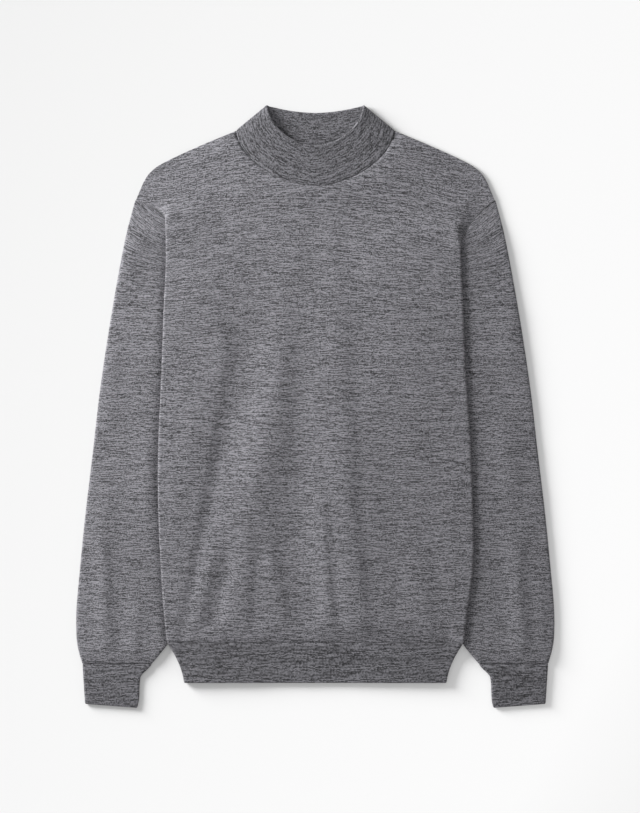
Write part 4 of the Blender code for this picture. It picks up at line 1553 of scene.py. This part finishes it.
@dataclass
class HemBand:
    """The ribbed tube below the body, folded under with its sides."""

    shape: LaidShape
    cut: Cut
    half_width: float = 163.5
    seam_half_width: float = 184.6
    narrowing: float = 1.6
    ribs: int = 464
    rib_height: float = 0.32
    wall: float = 1.1
    edge_radius: float = 0.7
    groove: float = 0.1
    course: float = 1.35
    row_spacing: float = 5.0
    swell: Swell = Swell(height=0.5, size=34.0, phase=1.3)
    swell_rise: float = 4.0
    across: int = 70
    tail: int = 24
    outer_turn: int = 14
    inner_turn: int = 10
    end_turn: int = 6

    def flap_height(self, side: Side, x: Array, y: Array) -> Array:
        """Returns the height of the folded flap's lower layer."""
        return self.shape.rib / 2 + self.shape.sleeve_lift(side, x, y)

    def half_ring(self, side: Side, share: float) -> Array:
        """Lays out half a ring: over the front, round the fold and the flap, and over the back.

        Args:
            side: Which half.
            share: The ring's place, from the seam down.

        Returns:
            The points, from the middle of the front to the middle of the back.
        """
        shape = self.shape
        y = shape.hem_seam_y - share * shape.hem_height
        start = mix(self.half_width, self.seam_half_width, (1 - share) ** self.narrowing)
        start = float(start) - shape.fold_radius
        end = float(shape.flap_x(side, y)) + shape.ply
        across, tail = np.linspace(0, start, self.across), np.linspace(start, end, self.tail)
        level = np.full_like(across, y)
        flap = self.flap_height(side, tail, np.full_like(tail, y))
        back = self.flap_height(side, across, level) + shape.flap_lift(side, across, level)
        corner = float(flap[0]) + shape.fold_radius
        inner = float(flap[-1]) + shape.ply / 2
        dip = self.groove * bell(share * shape.hem_height, SEAM_WIDTH)
        soft = settled(shape.span(side, across, level))
        soft = soft + ease(share * self.swell_rise) * self.swell.at(side.value * across, level)
        soft = soft * shape.inside(start + shape.fold_radius, across)
        inner_radius = shape.fold_radius - shape.ply
        section = np.concatenate(
            [
                np.stack([across, back + shape.ply + soft - dip], axis=-1),
                pressed(start, corner, shape.fold_radius, 90, -90, self.outer_turn)[1:],
                np.stack([tail, flap], axis=-1)[1:],
                arc(end, inner, shape.ply / 2, 270, 90, self.end_turn)[1:],
                np.stack([tail, flap + shape.ply], axis=-1)[::-1][1:],
                pressed(start, corner, inner_radius, -90, 90, self.inner_turn)[1:],
                np.stack([across, back], axis=-1)[::-1][1:],
            ]
        )
        xs, zs = side.value * section[:, 0], section[:, 1]
        return np.stack([xs, np.full_like(xs, y), zs], axis=-1)

    def ring(self, share: float) -> Array:
        """Returns the band's ring of points at a share of its height from the seam down."""
        left, right = self.half_ring(Side.LEFT, share), self.half_ring(Side.RIGHT, share)[::-1]
        return resampled(np.concatenate([left[:-1], right[:-1]]), self.ribs * len(RIB_PROFILE))

    def build(self, finish: bpy.types.Material) -> bpy.types.Object:
        """Makes the band, its ribs raised in its surface.

        Args:
            finish: The rib's material.

        Returns:
            The finished object.
        """
        length = self.shape.hem_height - self.shape.seam
        shares = edge_shares(length, self.row_spacing)
        first = self.shape.joint / self.shape.hem_height
        points = np.array([self.ring(mix(first, 1, share)) for share in shares])
        stitch, thickness, relief = ribbed(self.ribs, shares * length, self.course, self.edge_radius)
        cloth = LaidCloth("rib_hem_band", points, stitch, self.wall)
        piece = cloth.lay(thickness, finish, relief, self.rib_height)
        Declared("hem_band", "rib_knit", self.cut, "folded", ("floor", "knit_back")).tell(piece)
        return piece


def on_side(rings: Array, side: Side) -> Array:
    """Moves rings laid out on +X to their own side, where they run the same way round.

    Args:
        rings: Points (x, y, z), ring by ring.
        side: The side that they belong to.

    Returns:
        The placed points.
    """
    placed = rings * np.array([side.value, 1, 1])
    if side is Side.LEFT:
        return placed
    return np.concatenate([placed[:, :1], placed[:, :0:-1]], axis=1)


SLEEVE_SWELLS = {
    Side.LEFT: Swell(height=0.25, size=24.0, phase=2.0),
    Side.RIGHT: Swell(height=0.25, size=24.0, phase=0.0),
}


@dataclass
class Sleeve:
    """A set-in sleeve, laid flat with its inner part under the body."""

    shape: LaidShape
    side: Side
    cut: Cut
    stitches: Stitches
    tilt: float
    loft: float = 2.6
    slope_start: float = 1.0
    slope_length: float = 3.5
    hem_rise: float = 6.0
    head_flat: float = 12.0
    head_length: float = 56.0
    cuff_loft: float = 1.8
    puff: float = 1.4
    puff_length: float = 36.0
    fan: float = 1.5
    crowding: float = 1.1
    armhole_reach: float = 0.3
    edge_radius: float = 0.8
    rows: int = 190
    across: int = 44
    turn: int = 8
    tilt_start_y: float = 140.0
    tilt_length: float = 115.0
    tilt_x: float = 230.0

    def height(self, x: Array, y: Array) -> Array:
        """Works out the upper layer's height: flat under the body, softly full beside it.

        Args:
            x: Distance from the middle line.
            y: Height along the garment.

        Returns:
            The height above the floor.
        """
        shape, side = self.shape, self.side
        fold = shape.fold_x(side, y)
        past_fold = np.maximum(x - fold - self.slope_start, 0)
        beside = 1 - np.exp(-past_fold / self.slope_length)
        beside = np.maximum(beside, ease((shape.hem_seam_y - y) / self.hem_rise))
        below_tip = shape.shoulder_tip_y - self.head_flat - y
        beside = beside * ease(below_tip / self.head_length)
        over_cuff = np.clip((y - shape.cuff_seam_y) / self.puff_length, 0, 1)
        outer = shape.edge_x(shape.sleeve_outer, y)
        outward = np.clip((x - fold) / np.maximum(outer - fold, 1), 0, 1)
        high = self.loft + self.tilt * (0.5 - outward)
        full = mix(self.cuff_loft, high, ease(over_cuff))
        full = full + self.puff * np.sin(np.pi * over_cuff**PUFF_LEAN)
        full = full + lift_of(SLEEVE_FOLDS[side], x, y) + SLEEVE_SWELLS[side].at(x, y)
        dip = SLEEVE_SEAM_DIP * bell(y - shape.cuff_seam_y, SEAM_WIDTH)
        return shape.knit / 2 + shape.ply + beside * full - dip

    def ring(self, share: float, length: float) -> Array:
        """Lays out one ring: the first follows the armhole seam, and the later ones straighten.

        Args:
            share: The ring's place, from the armhole down to the cuff.
            length: The sleeve's length.

        Returns:
            Points (x, y, z), laid out on +X.
        """
        shape, armhole = self.shape, self.shape.armhole_curve(self.side)
        down = share**self.crowding
        inner_y = mix(shape.underarm_y, shape.cuff_seam_y + shape.seam, down**self.fan)
        outer_y = mix(shape.shoulder_tip_y, shape.cuff_seam_y + shape.seam, down)
        inner = np.array([shape.edge_x(shape.sleeve_inner, inner_y), inner_y])
        outer = np.array([shape.edge_x(shape.sleeve_outer, outer_y), outer_y])
        pull = 1 - ease(down / self.armhole_reach)
        places = np.linspace(0, 1, 2 * self.across)
        seam = np.stack(armhole.point(places), axis=-1)
        low, high = np.stack(armhole.point(0.0)), np.stack(armhole.point(1.0))
        straight = low + (high - low) * places[:, None]
        shift = (seam - straight) * pull
        flat = inner + (outer - inner) * places[:, None] + shift
        dip = SLEEVE_SEAM_DIP * bell(down * length, SEAM_WIDTH)
        top = self.height(flat[:, 0], flat[:, 1]) - dip
        ring, shares = tube_ring(inner, outer, top, shape.knit / 2, self.across, self.turn)
        shares = np.clip(shares, 0, 1)
        ring[:, 0] += np.interp(shares, places, shift[:, 0]) + shape.seam * pull
        ring[:, 1] += np.interp(shares, places, shift[:, 1]) - shape.seam * pull
        return ring

    def stitch_map(self, rings: Array) -> Array:
        """Counts the stitches round the sleeve, in courses that tilt near its head.

        Args:
            rings: Points (x, y, z), ring by ring, laid out on +X.

        Returns:
            The wale and course at each point, and at each ring's first point once more.
        """
        around = np.concatenate([rings, rings[:, :1]], axis=1)
        x, y = around[..., 0], around[..., 1]
        tilt = ease((y - self.tilt_start_y) / self.tilt_length)
        course = (y - tilt * (x - self.tilt_x)) / self.stitches.course
        steps = np.linalg.norm(np.diff(around, axis=1), axis=2)
        along = np.concatenate([np.zeros((len(rings), 1)), np.cumsum(steps, axis=1)], axis=1)
        wales = round(float(along[:, -1].mean()) / self.stitches.wale)
        return np.stack([along / along[:, -1:] * wales, course], axis=-1)

    def build(self, finish: bpy.types.Material) -> bpy.types.Object:
        """Makes the sleeve from its rings.

        Args:
            finish: The knit's material.

        Returns:
            The finished object.
        """
        length = self.shape.shoulder_tip_y - self.shape.cuff_seam_y
        shares = edge_shares(length, length / self.rows)
        rings = np.array([self.ring(share, length) for share in shares])
        stitch = self.stitch_map(rings)
        if self.side is Side.RIGHT:
            stitch = stitch[:, ::-1]
        points = on_side(rings, self.side)
        from_head = np.linalg.norm(points - points[:1], axis=2)
        from_cuff = np.linalg.norm(points - points[-1:], axis=2)
        thickness = edge_thickness(from_head, self.edge_radius)
        thickness = thickness * edge_thickness(from_cuff, self.edge_radius)
        name = "sleeve_" + self.side.word
        cloth = LaidCloth("knit_" + name, points, stitch, self.shape.knit)
        piece = cloth.lay(thickness, finish)
        log.info("%s middle surface %.4f m2", name, cloth.middle_area())
        Declared(name, "sleeve_knit", self.cut, "laid", ("floor",)).tell(piece)
        return piece


@dataclass
class Cuff:
    """The ribbed tube at the end of a sleeve."""

    shape: LaidShape
    side: Side
    cut: Cut
    hem_outer: tuple[float, float] = (287.4, -371.5)
    hem_inner: tuple[float, float] = (223.8, -376.4)
    flare: float = 9.0
    flare_rise: float = 0.3
    flare_start: float = 0.2
    flare_fall: float = 0.8
    loft: float = 1.8
    end_loft_share: float = 0.5
    ribs: int = 92
    rib_height: float = 0.32
    wall: float = 1.1
    edge_radius: float = 0.7
    course: float = 1.35
    row_spacing: float = 4.0
    across: int = 40
    turn: int = 10

    def ring(self, share: float, length: float) -> Array:
        """Lays out one of the cuff's rings.

        Args:
            share: The ring's place, from the seam down.
            length: The cuff's length.

        Returns:
            Points (x, y, z), laid out on +X.
        """
        shape = self.shape
        inner = mix(np.array([shape.cuff_inner_x, shape.cuff_seam_y]), np.array(self.hem_inner), share)
        outer = mix(np.array([shape.cuff_outer_x, shape.cuff_seam_y]), np.array(self.hem_outer), share)
        narrowed = ease((share - self.flare_start) / self.flare_fall)
        inner[0] += self.flare * float(ease(share / self.flare_rise) * (1 - narrowed))
        full = shape.rib / 2 + shape.ply + self.loft * mix(1, self.end_loft_share, share)
        dip = SLEEVE_SEAM_DIP * float(bell(share * length, SEAM_WIDTH))
        top = np.full(self.across, full - dip)
        ring, _ = tube_ring(inner, outer, top, shape.rib / 2, self.across, self.turn)
        return resampled(ring, self.ribs * len(RIB_PROFILE))

    def build(self, finish: bpy.types.Material) -> bpy.types.Object:
        """Makes the cuff, its ribs raised in its surface.

        Args:
            finish: The rib's material.

        Returns:
            The finished object.
        """
        drop = self.shape.cuff_seam_y - self.hem_outer[1]
        length = math.hypot(self.shape.cuff_outer_x - self.hem_outer[0], drop)
        shares = edge_shares(length, self.row_spacing)
        points = on_side(np.array([self.ring(share, length) for share in shares]), self.side)
        stitch, thickness, relief = ribbed(self.ribs, shares * length, self.course, self.edge_radius)
        cloth = LaidCloth("rib_cuff_" + self.side.word, points, stitch, self.wall)
        piece = cloth.lay(thickness, finish, relief, self.rib_height)
        Declared("cuff_" + self.side.word, "rib_knit", self.cut, "laid", ("floor",)).tell(piece)
        return piece


@dataclass
class Collar:
    """The mock neck: a ribbed ring folded double, with a rolled top edge."""

    shape: LaidShape
    cut: Cut
    top_y: float = 376.75
    top_half_width: float = 60.5
    front_drop: float = 50.5
    back_drop: float = 8.75
    roundness: float = 1.8
    height: float = 50.0
    spring: float = 3.0
    seam_dip_width: float = 3.5
    bead: float = 1.1
    bead_drop: float = 1.6
    bead_width: float = 1.5
    ribs: int = 300
    rib_height: float = 0.35
    wall: float = 2.1
    edge_radius: float = 1.2
    course: float = 1.35
    row_spacing: float = 3.5
    round_points: int = 1200

    def ring(self, share: float) -> Array:
        """Lays out the collar's ring at a share of its height.

        Args:
            share: The ring's place, from the neck seam up.

        Returns:
            Points (x, y, z).
        """
        shape = self.shape
        half = mix(shape.neck_half_width, self.top_half_width, share) - self.wall / 2
        centre = mix(shape.neck_point_y, self.top_y, share)
        front = mix(shape.front_neck_drop, self.front_drop, share) - shape.joint
        back = mix(shape.back_neck_drop, self.back_drop, share) - shape.joint
        power = 2 / mix(shape.neck_roundness, self.roundness, share)
        angle = np.linspace(0, 2 * np.pi, self.round_points, endpoint=False)
        across, down = np.cos(angle), np.sin(angle)
        x = half * np.abs(across) ** power * np.sign(across)
        y = centre - np.where(down > 0, front * np.abs(down) ** power, back * down**2)
        dip = shape.collar_dip * bell(share * self.height, self.seam_dip_width)
        below_top = (1 - share) * self.height
        bead = self.bead * bell(below_top - self.bead_drop, self.bead_width)
        rise = shape.collar_rise + self.spring * share - dip + bead
        z = shape.collar_low + shape.facing(down) * rise
        return resampled(np.stack([x, y, z], axis=-1), self.ribs * len(RIB_PROFILE))

    def build(self, finish: bpy.types.Material) -> bpy.types.Object:
        """Makes the collar, its ribs raised in its surface.

        Args:
            finish: The rib's material.

        Returns:
            The finished object.
        """
        shares = edge_shares(self.height, self.row_spacing)
        points = np.array([self.ring(share) for share in shares])
        up = shares * self.height
        stitch, thickness, relief = ribbed(self.ribs, up, self.course, self.edge_radius)
        cloth = LaidCloth("rib_collar", points, stitch, self.wall)
        piece = cloth.lay(thickness, finish, relief, self.rib_height)
        Declared("collar", "rib_knit", self.cut, "laid", ("floor",)).tell(piece)
        return piece


@dataclass
class Studio:
    """The pale floor, the soft light from the upper left and the camera straight above."""

    picture: tuple[int, int] = (640, 813)
    scale: float = 1.25
    middle_pixel: tuple[float, float] = (315.3, 406.5)
    seen_height: float = 6.0
    lens: float = 100.0
    sensor: float = 36.0
    floor_size: float = 8.0
    floor_drop: float = 0.0003
    floor_tone: float = 0.73
    floor_shown: float = 0.9855
    key_share: float = 0.56
    overhead_share: float = 0.14
    overhead_angle: float = 40.0
    lamp_distance: float = 2.0
    lamp_azimuth: float = 152.0
    lamp_elevation: float = 21.0
    lamp_size: float = 1.0
    lamp_falloff: float = 3.0
    paper_roughness: float = 0.95
    paper_specular: float = 0.1
    palest_paper: float = 0.98
    view_reach: float = 50.0

    def build(self) -> None:
        """Makes the floor, the lights, the surroundings and the camera."""
        self.lay_floor()
        self.hang_light()
        self.hang_overhead()
        self.light_surroundings()
        self.aim_camera()
        bpy.context.scene.view_settings.view_transform = "Standard"

    def lay_floor(self) -> None:
        """Lays a wide pale floor just below the sweater."""
        bpy.ops.object.select_all(action="DESELECT")
        bpy.ops.mesh.primitive_plane_add(size=self.floor_size, location=(0, 0, -self.floor_drop))
        floor = bpy.context.active_object
        floor.name = "floor"
        bpy.ops.object.transform_apply(location=True)
        floor.data.materials.append(self.paper())

    def paper(self) -> bpy.types.Material:
        """Builds the floor's pale paper, its colour darkened towards the lamp with painted shade that
        cancels the lamp's falloff, so that the floor looks even.

        Returns:
            The paper's material.
        """
        paper = bpy.data.materials.new("pale_paper")
        paper.use_nodes = True
        shader = paper.node_tree.nodes["Principled BSDF"]
        shader.inputs["Roughness"].default_value = self.paper_roughness
        shader.inputs["Specular IOR Level"].default_value = self.paper_specular
        bench = NodeBench(paper.node_tree)
        place = paper.node_tree.nodes.new("ShaderNodeTexCoord").outputs["Object"]
        away = paper.node_tree.nodes.new("ShaderNodeVectorMath")
        away.operation = "DISTANCE"
        bench.feed(away.inputs[0], place)
        away.inputs[1].default_value = self.lamp_place()
        # Painted shade: the paper's colour is divided by the light expected here from the lamp and the
        # fill, so it is darker where the lamp is nearer
        near = bench.math("DIVIDE", self.lamp_distance, away.outputs["Value"])
        lit = bench.math("POWER", near, self.lamp_falloff)
        key = bench.math("MULTIPLY", lit, self.key_share)
        falloff_cancelling_tone = bench.math("DIVIDE", self.floor_tone, bench.math("ADD", key, 1 - self.key_share))
        held = bench.math("MINIMUM", falloff_cancelling_tone, self.palest_paper)
        paper.node_tree.links.new(held, shader.inputs["Base Color"])
        return paper

    def lamp_place(self) -> Vector:
        """Returns where the lamp hangs."""
        azimuth, elevation = math.radians(self.lamp_azimuth), math.radians(self.lamp_elevation)
        level = math.cos(elevation)
        towards = Vector((math.cos(azimuth) * level, math.sin(azimuth) * level, math.sin(elevation)))
        return towards * self.lamp_distance

    def hang_light(self) -> None:
        """Hangs a large soft light to the upper left."""
        place = self.lamp_place()
        bpy.ops.object.light_add(type="AREA", location=place)
        lamp = bpy.context.active_object
        lamp.name = "soft_key"
        lamp.rotation_euler = place.to_track_quat("Z", "Y").to_euler()
        lamp.data.shape = "DISK"
        lamp.data.size = self.lamp_size
        wanted = self.key_share * self.floor_shown / self.floor_tone * math.pi
        spread = math.pi * self.lamp_distance**2 / math.sin(math.radians(self.lamp_elevation))
        lamp.data.energy = wanted * spread

    def hang_overhead(self) -> None:
        """Adds a weak, wide light from straight above, which reaches into the gaps at the edges."""
        bpy.ops.object.light_add(type="SUN", location=(0, 0, self.lamp_distance))
        lamp = bpy.context.active_object
        lamp.name = "soft_overhead"
        lamp.data.angle = math.radians(self.overhead_angle)
        lamp.data.energy = self.overhead_share * self.floor_shown / self.floor_tone * math.pi

    def light_surroundings(self) -> None:
        """Fills the shadows evenly."""
        world = bpy.data.worlds.new("soft_fill")
        bpy.context.scene.world = world
        world.use_nodes = True
        sky = world.node_tree.nodes["Background"]
        sky.inputs["Color"].default_value = (1, 1, 1, 1)
        fill_share = 1 - self.key_share - self.overhead_share
        sky.inputs["Strength"].default_value = fill_share * self.floor_shown / self.floor_tone

    def aim_camera(self) -> None:
        """Puts the camera straight above, framed as the photograph is."""
        width, height = self.picture
        long_side = max(width, height) * self.scale * MM
        distance = self.lens / self.sensor * long_side + self.seen_height * MM
        x = (width / 2 - self.middle_pixel[0]) * self.scale * MM
        y = -(height / 2 - self.middle_pixel[1]) * self.scale * MM
        bpy.ops.object.camera_add(location=(x, y, distance), rotation=(0, 0, 0))
        camera = bpy.context.active_object
        camera.name = "overhead"
        camera.data.lens = self.lens
        camera.data.sensor_width = self.sensor
        camera.data.clip_end = self.view_reach
        bpy.context.scene.camera = camera


BACK_CUT = Cut(width=0.52, length=0.64, area=0.29)
FRONT_CUT = Cut(width=0.52, length=0.62, area=0.29)
HEM_CUT = Cut(width=0.836, length=0.051, area=0.0426)
COLLAR_CUT = Cut(width=0.40, length=0.05, area=0.02)
SLEEVE_CUT = Cut(width=0.33, length=0.62, area=0.14)
CUFF_CUT = Cut(width=0.165, length=0.05, area=0.0082)
BACK_SPACING = 5.0
FRONT_SPACING = 3.0
SLEEVE_TILT = {Side.LEFT: 1.2, Side.RIGHT: 0.0}
JERSEY = Stitches(wale=1.45, course=1.05)
# hollow sets the painted shade in the hollows between the stitches and the ribs
BODY_KNIT = YarnFinish(
    "marl_jersey", dark=(0.037, 0.0364, 0.0396), light=(0.247, 0.243, 0.265),
    streak=0.1, contrast=4.4, hollow=0.2, relief=0.3,
)
RIB_KNIT = YarnFinish(
    "marl_rib", dark=(0.032, 0.0315, 0.0343), light=(0.2, 0.1967, 0.2145),
    streak=0.12, contrast=4.4, hollow=0.25, relief=0.3, ribbed=True,
)


def main() -> None:
    """Lays out the sweater piece by piece on the frame, and sets the stage."""
    logging.basicConfig(level=logging.INFO, format="%(name)s: %(message)s")
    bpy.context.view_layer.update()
    shape = LaidShape()
    jersey, rib = BODY_KNIT.material(), RIB_KNIT.material()
    spacing = FRONT_SPACING
    back = BodyPanel(
        shape, "back", shape.back_neck_drop, ply=1, cut=BACK_CUT, spacing=BACK_SPACING, stitches=JERSEY
    )
    back.build(jersey, "folded", ("floor",))
    front = BodyPanel(
        shape, "front", shape.front_neck_drop, ply=0, cut=FRONT_CUT, spacing=spacing, stitches=JERSEY
    )
    front.build(jersey, "folded", ("knit_back",))
    HemBand(shape, HEM_CUT).build(rib)
    Collar(shape, COLLAR_CUT).build(rib)
    for side in Side:
        Sleeve(shape, side, SLEEVE_CUT, JERSEY, SLEEVE_TILT[side]).build(jersey)
        Cuff(shape, side, CUFF_CUT).build(rib)
    Studio().build()


if __name__ == "__main__":
    main()
